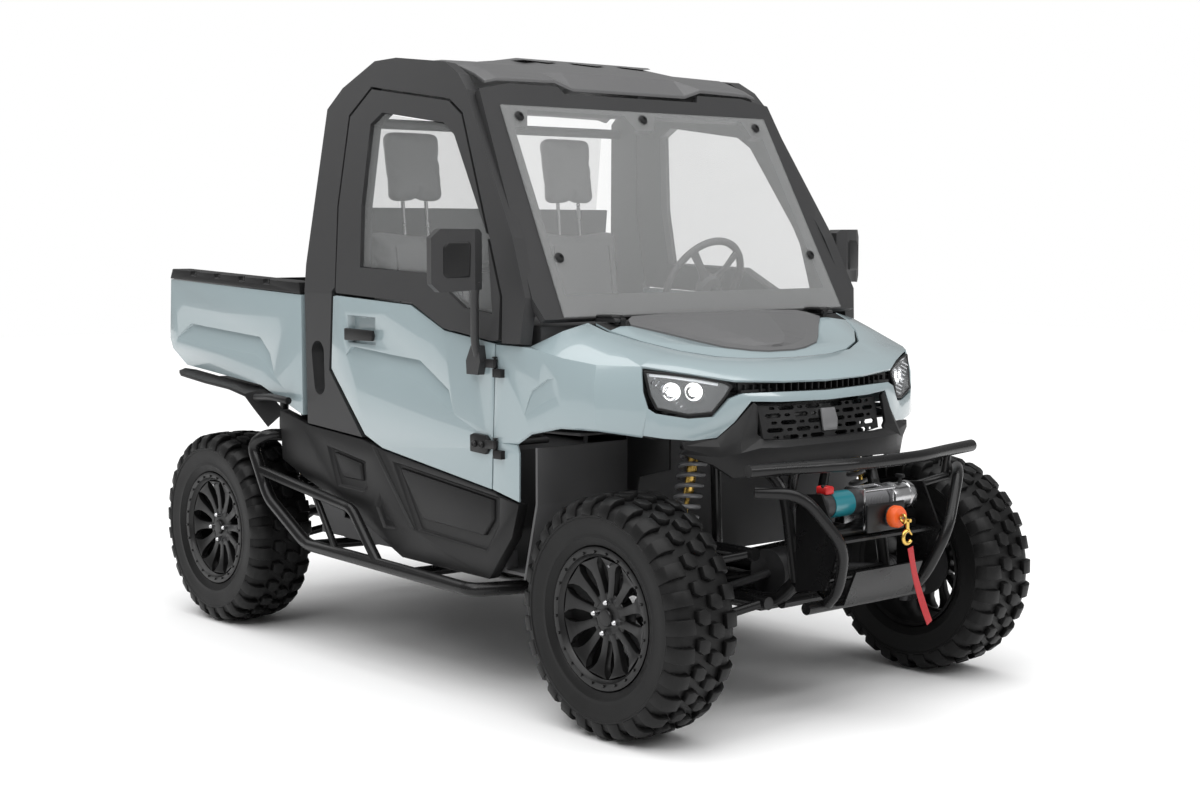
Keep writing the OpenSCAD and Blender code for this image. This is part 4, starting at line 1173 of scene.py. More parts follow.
def pocket(name: str, pts: Sequence[Flat], deep: float, taper: float = 0.9,
           face: float = -HALF) -> bpy.types.Object:
    """A cutter for a flat-bottomed recess with sloping walls.

    Args:
        name: name of the cutter.
        pts: outline as (x, z).
        deep: depth of the recess.
        taper: size of the bottom over the mouth.
        face: Y of the panel's face.

    Returns:
        The closed cutter.
    """
    ring = [(x, face - 0.002, z) for x, z in pts]
    return Bench.prism(name, ring, (0, deep + 0.002, 0), 0.0, taper)


@dataclass
class Flanks:
    """Doors, bed sides, wings and lower panels with their creases."""

    door_top: Sequence[Flat] = ((-0.262, 1.046), (-0.230, 1.075), (0.015, 1.057), (0.170, 1.047),
                                (0.326, 0.961), (0.352, 0.889))
    door_low: Sequence[Flat] = ((-0.258, 1.040), (-0.224, 1.008), (0.028, 0.996), (0.155, 0.981),
                                (0.262, 0.935), (0.349, 0.885))
    bed_top: Sequence[Flat] = ((-1.442, 1.058), (-1.340, 1.112), (-0.828, 1.081),
                               (-0.760, 1.025), (-0.731, 0.950))
    bed_low: Sequence[Flat] = ((-1.439, 1.052), (-1.321, 1.042), (-0.865, 1.017),
                               (-0.800, 0.990), (-0.735, 0.946))
    wing_top: Sequence[Flat] = ((0.711, 0.915), (0.747, 0.987), (0.820, 1.026), (0.868, 1.034))
    wing_low: Sequence[Flat] = ((0.716, 0.908), (0.795, 0.949), (0.840, 0.966), (0.868, 0.972))

    def build(self) -> None:
        """Makes the four kinds of side panel for both sides."""
        for side in Side:
            self.door(side)
        self.pair("bed_sides", "cargo_bed", PAINT, self.bed_cuts, "ribbed_bed_side")
        self.pair("side_panels", "chassis", BLACK_PLASTIC, self.sill_cuts, "lower_panel")
        wings = self.pair("front_fenders", "chassis", PAINT, self.wing_cuts, "nose_and_wings")
        Shop.second(wings, BLACK_PLASTIC, (0.54, 0.7355, 0.7), (0.66, 0.80, 1.1))
        LOG.info("body sides ready")

    @staticmethod
    def twins(cuts: Callable[[], List[bpy.types.Object]]) -> List[bpy.types.Object]:
        """Cutters for the right side and their mirror images."""
        made = cuts()
        return made + [Bench.mirrored(c, c.name + "_m") for c in made]

    def pair(self, node: str, body: str, finish: Finish,
             cuts: Callable[[], List[bpy.types.Object]], name: str) -> bpy.types.Object:
        """Carves a node that holds both sides.

        Args:
            node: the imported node.
            body: body that it rides on.
            finish: its finish.
            cuts: makes the right side's cutters.
            name: name of the new piece.

        Returns:
            The carved piece.
        """
        obj = Bench.from_node(node, name)
        Bench.carve(obj, self.twins(cuts))
        Bench.soften(obj, 0.003, 2, 24, 32)
        return Shop.fit(obj, body, finish, node, [node])

    def door(self, side: Side) -> None:
        """One door skin with its crease and handle pocket."""
        node = f"{side.word}_door_panel"
        obj = Bench.from_node(node, f"creased_door_{side.word}")
        cuts = [groove("crease", self.door_top, self.door_low, 0.016),
                pocket("grip", [(-0.253, 1.180), (-0.083, 1.177), (-0.083, 1.083),
                                (-0.253, 1.086)], 0.024, 0.86)]
        if side is Side.LEFT:
            flipped = [Bench.mirrored(c, c.name + "_m") for c in cuts]
            for c in cuts:
                bpy.data.objects.remove(c)
            cuts = flipped
        Bench.carve(obj, cuts)
        Bench.soften(obj, 0.003, 2, 24, 32)
        Shop.fit(obj, f"{side.word}_door", PAINT, "right_door_panel", [node])
        Shop.second(obj, BLACK_PLASTIC, (0.545, 0.7355, 0.7), (0.66, 0.80, 1.1))
        self.hardware(side)

    @staticmethod
    def hardware(side: Side) -> None:
        """Handle, hinge plates and their bolts on one door."""
        s = side.value
        body = f"{side.word}_door"
        bar = Bench.prism("handle", [(-0.245, s * 0.741, 1.095), (-0.245, s * 0.741, 1.136),
                                     (-0.080, s * 0.741, 1.133), (-0.074, s * 0.741, 1.114),
                                     (-0.080, s * 0.741, 1.098)], (0, s * 0.014, 0), 0.004)
        foot = Bench.block("foot", (-0.245, min(s * 0.712, s * 0.745), 1.099),
                           (-0.215, max(s * 0.712, s * 0.745), 1.131), 0.003)
        parts = [bar, foot]
        for z in DOOR_HINGES_Z:
            plate = [(0.452, s * 0.7345, z - 0.022), (0.452, s * 0.7345, z + 0.030),
                     (0.470, s * 0.7345, z + 0.036), (0.530, s * 0.7345, z + 0.034),
                     (0.545, s * 0.7345, z + 0.022), (0.545, s * 0.7345, z - 0.010),
                     (0.530, s * 0.7345, z - 0.026)]
            if z < 0.9:
                parts.append(Bench.prism("plate", plate, (0, s * 0.014, 0), 0.003))
                for x in (0.478, 0.515):
                    parts.append(Bench.turned("bolt", [(0, 0), (0.011, 0), (0.011, 0.005),
                                                       (0.007, 0.009), (0.003, 0.007), (0, 0.007)],
                                              (x, s * 0.748, z + 0.004), (0, s, 0), 16, 30))
            parts.append(Bench.turned("cap", [(0, 0), (0.0085, 0), (0.0085, 0.003),
                                              (0.006, 0.0045), (0, 0.0045)],
                                      (DOOR_PIN[0], s * DOOR_PIN[1], z + 0.0245), (0, 0, 1),
                                      20, 30))
        Shop.fit(Bench.join(f"door_hardware_{side.word}", parts), body, BLACK_PLASTIC,
                 "right_door_frame")

    def bed_cuts(self) -> List[bpy.types.Object]:
        """Crease along a bed side."""
        return [groove("bed_crease", self.bed_top, self.bed_low, 0.014)]

    def wing_cuts(self) -> List[bpy.types.Object]:
        """Crease over a front wheel arch."""
        return [groove("wing_crease", self.wing_top, self.wing_low, 0.0045)]

    @staticmethod
    def sill_cuts() -> List[bpy.types.Object]:
        """Recesses in a lower panel."""
        return [
            pocket("sill_big", [(0.004, 0.706), (0.590, 0.645), (0.586, 0.560), (0.520, 0.468),
                                (0.142, 0.490)], 0.014, 0.93),
            pocket("sill_left", [(-0.395, 0.726), (-0.150, 0.690), (-0.140, 0.600),
                                 (-0.165, 0.582), (-0.330, 0.588)], 0.013, 0.86),
            pocket("sill_slot", [(-0.070, 0.592), (-0.100, 0.545), (-0.052, 0.474),
                                 (0.030, 0.478), (0.012, 0.500), (-0.030, 0.506),
                                 (-0.055, 0.545)], 0.012, 0.82)]


@dataclass
class SillPlates:
    """Raised plates inside the recesses of the lower panels, and a diagonal rib."""

    def build(self) -> None:
        """Makes the plates for both sides."""
        for side in Side:
            s = side.value
            y = s * (HALF - 0.0142)
            big = Bench.prism("plate", [(0.040, y, 0.686), (0.550, y, 0.634), (0.548, y, 0.568),
                                        (0.505, y, 0.515), (0.165, y, 0.530)],
                              (0, s * 0.0120, 0), 0.004, 0.96)
            left = Bench.prism("plate", [(-0.355, y, 0.705), (-0.185, y, 0.680),
                                         (-0.175, y, 0.618), (-0.300, y, 0.620)],
                               (0, s * 0.0110, 0), 0.004, 0.92)
            face = s * HALF * 0.999
            rib = Bench.prism("rib", [(-0.120, face, 0.752), (-0.096, face, 0.750),
                                      (0.140, face, 0.486), (0.118, face, 0.486)],
                              (0, s * 0.004, 0), 0.002, 0.92)
            Shop.fit(Bench.join(f"sill_plates_{side.word}", [big, left, rib]), "chassis",
                     BLACK_PLASTIC, "side_panels")
        LOG.info("sill plates ready")


# ---------------------------------------------------------------- cab


@dataclass
class Cab:
    """Roof, windscreen fittings, rear wall panel and mirrors."""

    slope: float = 0.534
    foot: float = 1.4045

    def build(self) -> None:
        """Dresses the cab and adds its small fittings."""
        # The roof takes the lighter top finish: a painted highlight from the overhead light on the same
        # black cab plastic.
        for node, finish, edge in (("cab_frame", CAB_PLASTIC, 0.004), ("roof", TOPLIT_PLASTIC, 0.004),
                                   ("cab_floor", INNER, 0.003), ("dashboard", INNER, 0.004),
                                   ("right_door_frame", CAB_PLASTIC, 0.003),
                                   ("left_door_frame", CAB_PLASTIC, 0.003),
                                   ("cab_glass", SCREEN, 0.0), ("right_door_glass", WINDOW, 0.0),
                                   ("left_door_glass", WINDOW, 0.0)):
            Shop.dress(node, finish, edge)
        self.bolts()
        self.rear_wall()
        self.mirrors()
        self.roof_ribs()
        LOG.info("cab ready")

    def on_screen(self, y: float, z: float) -> Vector:
        """Point on the windscreen's outer plane at a sideways place and a height."""
        return Vector((self.foot - self.slope * z, y, z))

    def bolts(self) -> None:
        """Round-headed bolts that hold the windscreen."""
        n = Vector((1, 0, self.slope)).normalized()
        heads = []
        for y, z in ((-0.529, 1.823), (0.0, 1.832), (0.529, 1.823), (-0.562, 1.380),
                     (0.562, 1.380)):
            heads.append(Bench.turned("bolt", [(0, -0.006), (0.0165, -0.006), (0.0165, 0.002),
                                               (0.013, 0.006), (0.006, 0.0072), (0.005, 0.004),
                                               (0, 0.004)], self.on_screen(y, z), n, 28, 30))
        Shop.fit(Bench.join("screen_bolts", heads), "chassis", SEAL, "cab_frame")

    @staticmethod
    def rear_wall() -> None:
        """The solid lower part of the cab's rear wall, in front of its glass."""
        pts = [(-0.478, -0.600, 1.342), (-0.478, 0.600, 1.342), (-0.450, 0.595, 1.545),
               (-0.450, -0.595, 1.545)]
        wall = Bench.prism("rear_wall_panel", pts, (0.008, 0, 0), 0.003)
        Shop.fit(wall, "chassis", INNER, "cab_frame")

    @staticmethod
    def mirrors() -> None:
        """Mirror faces and their shells, riding with the doors."""
        for side in Side:
            s = side.value
            pts = [(-0.066, -0.062), (-0.052, -0.079), (0.070, -0.074), (0.070, 0.071),
                   (-0.050, 0.079), (-0.066, 0.058)]
            turn = Matrix.Translation((0.552, s * 0.870, 1.373)) @ \
                Matrix.Rotation(math.radians(20 * s), 4, "Z")
            ring = [tuple(turn @ Vector((-0.0285, -s * y, z))) for y, z in pts]
            depth = (turn.to_3x3() @ Vector((0.004, 0, 0)))[:]
            face = Bench.prism(f"mirror_face_{side.word}", ring, depth, 0.001)
            Shop.fit(face, f"{side.word}_door", MIRROR_FACE, "right_door_frame")
            shell = [(-0.060, -0.048), (-0.046, -0.062), (0.048, -0.056), (0.052, 0.052),
                     (0.044, 0.062), (-0.042, 0.062), (-0.060, 0.044)]
            ring = [tuple(turn @ Vector((0.018, -s * y * 0.85, z))) for y, z in shell]
            depth = (turn.to_3x3() @ Vector((0.016, 0, 0)))[:]
            back = Bench.prism(f"mirror_shell_{side.word}", ring, depth, 0.005, 0.86, 3)
            Shop.fit(back, f"{side.word}_door", BLACK_PLASTIC, "right_door_frame")

    @staticmethod
    def roof_ribs() -> None:
        """Raised panels pressed into the roof."""
        ribs = []
        for y in (-0.215, 0.0, 0.215):
            pts = [(-0.150, y - 0.070, 2.041), (0.150, y - 0.070, 2.032), (0.190, y, 2.024),
                   (0.150, y + 0.070, 2.032), (-0.150, y + 0.070, 2.041), (-0.190, y, 2.040)]
            ribs.append(Bench.prism("rib", pts, (0, 0, 0.005), 0.002, 0.94))
        # The pressings take the same painted highlight from the overhead light as the roof.
        Shop.fit(Bench.join("roof_pressings", ribs), "chassis", TOPLIT_PLASTIC, "roof")


# ---------------------------------------------------------------- nose


@dataclass
class Lamp:
    """One headlamp: bezel, housing, two projectors, a light strip and a clear lens."""

    side: Side
    rim: Sequence[Point] = ((1.0845, -0.586, 1.053), (1.116, -0.520, 1.045), (1.158, -0.440, 1.032),
                            (1.197, -0.374, 1.018), (1.212, -0.356, 1.006), (1.208, -0.376, 0.978),
                            (1.190, -0.412, 0.930), (1.154, -0.478, 0.924), (1.116, -0.566, 0.946),
                            (1.100, -0.578, 0.985))
    inward: Point = (-0.045, 0.012, 0.0)

    def place(self, p: Point, deep: float = 0.0) -> Point:
        """A point of the right lamp, moved to this side and set back.

        Args:
            p: point on the right lamp.
            deep: share of the way from the lens to the back.

        Returns:
            The point on this lamp.
        """
        q = Vector(p) + Vector(self.inward) * deep
        return (q.x, -self.side.value * q.y, q.z)

    def build(self) -> None:
        """Makes all of the lamp's parts."""
        tag = self.side.word
        mid = sum((Vector(p) for p in self.rim), Vector()) / len(self.rim)

        def ring(size: float, deep: float) -> List[Point]:
            """The rim shrunk about its middle and set back."""
            return [self.place(tuple(mid + (Vector(p) - mid) * size), deep) for p in self.rim]
        bowl = Bench.loft(f"lamp_bowl_{tag}", [ring(0.92, 1.0), ring(0.99, 0.5), ring(1.0, 0.05),
                                               ring(0.97, 0.05), ring(0.96, 0.45), ring(0.90, 0.94)],
                          0.0008)
        Shop.fit(bowl, "chassis", LAMP_DARK, "headlamps", ["headlamps"])
        bezel = Bench.pipe(f"lamp_bezel_{tag}", ring(1.0, 0.02), 0.0045, 0.004, 5, True)
        Shop.fit(bezel, "chassis", SEAL, "headlamps")
        lens = Bench.loft(f"lamp_lens_{tag}", [ring(0.985, 0.04), ring(0.985, -0.03)], 0.001)
        Shop.fit(lens, "chassis", LENS, "headlamps")
        n = Vector((0.865, -0.465, 0.19))
        axis = Vector((n.x, -self.side.value * n.y, n.z))
        for k, spot in enumerate(((1.133, -0.514, 0.992), (1.166, -0.456, 0.991))):
            at = self.place(spot, 0.35)
            bowl = Bench.turned(f"projector_{k}_{tag}", [(0.010, -0.022), (0.021, -0.004),
                                                         (0.026, 0.004), (0.028, 0.003),
                                                         (0.023, -0.010), (0.012, -0.026)],
                                at, axis, 32, 40)
            Shop.fit(bowl, "chassis", REFLECTOR, "headlamps")
            bulb = Bench.turned(f"lit_disc_{k}_{tag}", [(0, -0.014), (0.009, -0.012), (0.0125, -0.006),
                                                        (0.010, 0.000), (0, 0.004)],
                                at, axis, 24, 60)
            Shop.fit(bulb, "chassis", LIT, "headlamps")
        top = [(1.095, -0.570, 1.042), (1.118, -0.518, 1.036), (1.158, -0.440, 1.022),
               (1.190, -0.384, 1.010)]
        strip = Bench.pipe(f"lamp_strip_{tag}", [self.place(p, 0.25) for p in top], 0.004, 0.01)
        Shop.fit(strip, "chassis", STRIP, "headlamps")
        vanes = []
        for k in range(9):
            t = k / 8
            a = Vector((1.104, -0.574, 1.020)).lerp(Vector((1.150, -0.485, 0.934)), t)
            b = a + Vector((0.010, 0.017, 0.012))
            vanes.append(Bench.pipe("vane", [self.place(tuple(a), 0.12),
                                             self.place(tuple(b), 0.5)], 0.0034, 0, 4))
        Shop.fit(Bench.join(f"lamp_vanes_{tag}", vanes), "chassis", REFLECTOR, "headlamps")


@dataclass
class Nose:
    """Lid, fascia, grille, badge plate and the slit below the lid."""

    def build(self) -> None:
        """Makes the front-end fittings."""
        for side in Side:
            Lamp(side).build()
        lid = Bench.soften(Bench.from_node("hood_panel", "rounded_lid"), 0.0022, 2, 24, 32)
        Shop.fit(lid, "hood", PAINT, "hood_panel", ["hood_panel"])
        Shop.second(lid, BLACK_PLASTIC, (0.80, 0.440, 1.165), (0.862, 0.467, 1.21))
        # The hood insert takes the lighter top finish: a painted highlight from the overhead light on
        # the same black plastic.
        Shop.dress("hood_insert", TOPLIT_PLASTIC, 0.003)
        self.fascia()
        self.grille()
        self.slit()
        self.brackets()
        LOG.info("nose ready")

    @staticmethod
    def fascia() -> None:
        """The black bar round the grille, with its edges rounded."""
        obj = Bench.from_node("front_fascia", "rounded_fascia")
        Bench.soften(obj, 0.003, 2, 24, 34)
        Shop.fit(obj, "chassis", BLACK_PLASTIC, "front_fascia", ["front_fascia"])

    @staticmethod
    def grille() -> None:
        """The grille plate with rows of long hexagonal slots, and a blank badge plate."""
        obj = Bench.from_node("grille", "slotted_grille")
        cuts = []
        for row in range(5):
            z = 0.8475 + 0.0215 * row
            for k in range(-5, 6):
                y = 0.053 * k
                wide, tall = (0.030, 0.0066) if (k + row) % 2 else (0.0115, 0.0045)
                if abs(y) + wide > 0.258 or abs(y) < wide + 0.018:
                    continue
                flat = wide - tall
                hexa = [(1.20, y - wide, z), (1.20, y - flat, z - tall),
                        (1.20, y + flat, z - tall), (1.20, y + wide, z),
                        (1.20, y + flat, z + tall), (1.20, y - flat, z + tall)]
                cuts.append(Bench.prism("slot", hexa, (0.12, 0, 0), 0.0))
        Bench.carve(obj, [Bench.join("slots", cuts)])
        Bench.soften(obj, 0.0008, 1, 40, 30)
        Shop.fit(obj, "chassis", BLACK_PLASTIC, "grille", ["grille"])
        plate = Bench.prism("badge_plate", [(1.2745, -0.030, 0.858), (1.2745, 0.030, 0.858),
                                            (1.2735, 0.034, 0.890), (1.263, 0.030, 0.926),
                                            (1.263, -0.030, 0.926), (1.2735, -0.034, 0.890)],
                            (0.007, 0, 0), 0.002)
        Shop.fit(plate, "chassis", SPRING, "grille")
        back = Bench.block("grille_backing", (1.16, -0.255, 0.842), (1.166, 0.255, 0.945), 0.002)
        Shop.fit(back, "chassis", LAMP_DARK, "grille")

    @staticmethod
    def slit() -> None:
        """The dark slit under the lip with its row of small fins."""
        fins = []
        for k in range(-11, 12):
            y = 0.028 * k
            x = 1.258 - 0.32 * y * y - abs(y) * 0.02
            fins.append(Bench.block("fin", (x - 0.03, y - 0.002, 0.984), (x, y + 0.002, 1.008),
                                    0.0008, 1))
        shelf = [(1.19, -0.33, 0.975), (1.232, -0.30, 0.975), (1.246, -0.2, 0.975),
                 (1.256, 0.0, 0.975), (1.246, 0.2, 0.975), (1.232, 0.30, 0.975),
                 (1.19, 0.33, 0.975)]
        fins.append(Bench.prism("shelf", shelf, (0, 0, 0.007), 0.002))
        wall = [(1.205, -0.33, 0.975), (1.212, -0.33, 0.975), (1.225, 0.0, 0.975),
                (1.212, 0.33, 0.975), (1.205, 0.33, 0.975), (1.218, 0.0, 0.975)]
        fins.append(Bench.prism("wall", wall, (0, 0, 0.045), 0.0))
        Shop.fit(Bench.join("slit_fins", fins), "chassis", SEAL, "front_fascia")

    @staticmethod
    def brackets() -> None:
        """Moulded covers over the lid's hinges."""
        for side in Side:
            s = side.value
            y0, y1 = sorted((s * 0.440, s * 0.490))
            pts = [(0.742, y0, 1.197), (0.742, y1, 1.197), (0.832, y1, 1.197),
                   (0.842, (y0 + y1) / 2, 1.197), (0.832, y0, 1.197)]
            cover = Bench.prism(f"hinge_cover_{side.word}", pts, (0, 0, 0.009), 0.003, 0.9)
            Shop.fit(cover, "chassis", BLACK_PLASTIC, "cab_frame")


# ---------------------------------------------------------------- bumper and winch


@dataclass
class FrontKit:
    """Bumper, winch, rope, hook and strap."""

    x: float = 1.430
    z: float = 0.660

    def build(self) -> None:
        """Makes the winch and dresses the bumper."""
        for node in ("bumper", "sliders"):
            obj = Bench.from_node(node, f"smooth_{node}")
            Bench.smooth(obj, 48)
            Shop.fit(obj, "chassis", POWDER, node, [node])
        self.strap()
        self.motor()
        self.drum()
        self.gearbox()
        self.hook()
        LOG.info("front kit ready")

    def turned(self, name: str, prof: Sequence[Flat], y: float, finish: Finish,
               replaces: Sequence[str] = (), steps: int = 40) -> None:
        """Fits a part turned about the winch's own axis."""
        obj = Bench.turned(name, prof, (self.x, y, self.z), (0, 1, 0), steps, 30)
        Shop.fit(obj, "chassis", finish, "winch", replaces)

    def strap(self) -> None:
        """The webbing strap that hangs from the hook, swung a little to the left."""
        path = [(0.033, 0.530), (0.040, 0.500), (0.049, 0.465), (0.062, 0.425), (0.078, 0.388),
                (0.096, 0.350), (0.112, 0.318), (0.127, 0.291)]
        rows, half = [], 0.0125
        for k, (y, z) in enumerate(path):
            a, b = path[max(0, k - 1)], path[min(len(path) - 1, k + 1)]
            run = Vector((0, b[0] - a[0], b[1] - a[1])).normalized()
            twist = 0.0012 * math.sin(k * 0.9)
            side = Vector((0, -run.z, run.y)) * half
            mid = Vector((self.x + 0.1405, y, z))
            rows.append([tuple(mid - side + Vector((twist, 0, 0))), tuple(mid),
                         tuple(mid + side - Vector((twist, 0, 0)))])
        strap = Bench.skin("webbing_strap", rows, 0.0018, 2, 0.0004)
        Shop.fit(strap, "chassis", WEBBING, "pull_strap", ["pull_strap"])

    def motor(self) -> None:
        """The motor with its coloured band, end caps and terminals."""
        self.turned("motor_case", [(0, 0), (0.030, 0), (0.037, 0.006), (0.0385, 0.014), (0.0385, 0.032),
                                   (0.036, 0.034), (0.036, 0.122), (0.0385, 0.124),
                                   (0.0385, 0.158), (0, 0.158)], -0.213, CAST, ["winch"])
        self.turned("motor_band", [(0.030, 0.036), (0.0388, 0.036), (0.0388, 0.120),
                                   (0.030, 0.120)], -0.213, TEAL)
        cap = Bench.block("terminal_cover", (self.x - 0.02, -0.205, self.z + 0.034),
                          (self.x + 0.022, -0.168, self.z + 0.058), 0.006, 3)
        Shop.fit(cap, "chassis", RED_CAP, "winch")
        wires = []
        for k, y in enumerate((-0.186, -0.196)):
            wires.append(Bench.pipe("wire", [(self.x + 0.012, y, self.z + 0.05),
                                             (self.x + 0.005, y - 0.01, self.z + 0.06),
                                             (self.x - 0.05, -0.16 + 0.03 * k, self.z + 0.045),
                                             (self.x - 0.075, -0.10, self.z + 0.0)],
                                    0.004, 0.02, 5))
        Shop.fit(Bench.join("winch_wires", wires), "chassis", SEAL, "winch")

    def drum(self) -> None:
        """The drum with its wound rope, end plates and tie bars."""
        self.turned("drum_core", [(0, 0), (0.021, 0), (0.021, 0.135), (0, 0.135)], -0.055, STEEL)
        turns = []
        for k in range(17):
            turns.append(Bench.turned("turn", [
                (0.027 + 0.0036 * math.cos(a), 0.0036 * math.sin(a))
                for a in (i * math.pi / 4 for i in range(8))],
                (self.x, -0.044 + 0.0068 * k, self.z), (0.0, 1, 0.03), 32, 60))
        Shop.fit(Bench.join("wound_rope", turns), "chassis", ROPE, "winch")
        parts = []
        for y in (-0.055, 0.074):
            parts.append(Bench.block("end_plate", (self.x - 0.040, y - 0.004, 0.574),
                                     (self.x + 0.040, y + 0.006, self.z + 0.042), 0.004))
        for dx, dz in ((-0.034, 0.034), (0.034, 0.034)):
            parts.append(Bench.pipe("tie_bar", [(self.x + dx, -0.055, self.z + dz),
                                                (self.x + dx, 0.08, self.z + dz)], 0.006))
        Shop.fit(Bench.join("drum_frame", parts), "chassis", STEEL, "winch")
        base = Bench.block("winch_base", (self.x - 0.036, -0.206, 0.566),
                           (self.x + 0.036, 0.186, 0.590), 0.004)
        Shop.fit(base, "chassis", POWDER, "winch")

    def gearbox(self) -> None:
        """The gearbox with its ring of bolts and the free-spool lever."""
        self.turned("gear_case", [(0, 0), (0.043, 0), (0.044, 0.004), (0.044, 0.024), (0.0405, 0.027),
                                  (0.0405, 0.075), (0.044, 0.078), (0.044, 0.094),
                                  (0.038, 0.106), (0, 0.108)], 0.082, STEEL)
        bolts = []
        for k in range(6):
            a = FULL * k / 6
            bolts.append(Bench.turned("bolt", [(0, 0), (0.004, 0), (0.004, 0.004), (0, 0.004)],
                                      (self.x + 0.033 * math.cos(a), 0.185,
                                       self.z + 0.033 * math.sin(a)), (0, 1, 0), 6, 20))
        bolts.append(Bench.pipe("lever", [(self.x, 0.150, self.z + 0.040),
                                          (self.x, 0.150, self.z + 0.058)], 0.006))
        bolts.append(Bench.block("knob", (self.x - 0.016, 0.143, self.z + 0.054),
                                 (self.x + 0.016, 0.157, self.z + 0.066), 0.004, 3))
        Shop.fit(Bench.join("gear_bolts", bolts), "chassis", SEAL, "winch")

    def hook(self) -> None:
        """Fairlead, stopper, thimble and hook."""
        y, z = 0.020, 0.618
        x = self.x
        plate = Bench.block("fairlead", (x + 0.067, -0.084, 0.574), (x + 0.077, 0.084, 0.660),
                            0.006, 3)
        lip = Bench.turned("fairlead_lip", [(0.014, 0), (0.030, 0), (0.030, 0.004), (0.024, 0.010),
                                            (0.016, 0.010), (0.012, 0.004)],
                           (x + 0.076, y, z), (1, 0, 0), 32, 40)
        Shop.fit(Bench.join("fairlead_plate", [plate, lip]), "chassis", POWDER, "winch")
        stop = Bench.turned("rope_stopper", [(0.008, 0), (0.030, 0), (0.033, 0.004), (0.033, 0.022),
                                             (0.028, 0.030), (0.008, 0.030)],
                            (x + 0.084, y, z), (1, 0, 0), 36, 40)
        Shop.fit(stop, "chassis", ORANGE, "winch")
        rope = Bench.pipe("rope_end", [(x + 0.03, y, z + 0.03), (x + 0.08, y, z), (x + 0.124, y, z)],
                          0.0045, 0.01)
        Shop.fit(rope, "chassis", ROPE, "winch")
        side = y - 0.006
        loop = [(x + 0.118, side, z + 0.006), (x + 0.134, side, z + 0.010),
                (x + 0.140, side, z - 0.004), (x + 0.134, side, z - 0.016),
                (x + 0.120, side, z - 0.008)]
        gold = [Bench.pipe("thimble", loop, 0.0048, 0.008, 5, True)]
        cx, cz, bend_r = x + 0.140, 0.562, 0.019
        bend = [(cx, y, z - 0.008), (cx, y, cz + 0.026)]
        for k in range(11):
            a = math.radians(70 + 25 * k)
            bend.append((cx, y + bend_r * math.cos(a), cz + bend_r * math.sin(a)))
        gold.append(Bench.pipe("hook", bend, 0.0062, 0.0, 6))
        gold.append(Bench.pipe("latch", [(cx, y + 0.002, cz + 0.024), (cx, y + 0.019, cz + 0.006)],
                               0.0035, 0.0, 5))
        gold.append(Bench.pipe("clevis_pin", [(cx - 0.012, y, z - 0.006), (cx + 0.012, y, z - 0.006)],
                               0.0055))
        Shop.fit(Bench.join("gold_hook", gold), "chassis", GOLD, "winch")


# ---------------------------------------------------------------- cargo bed


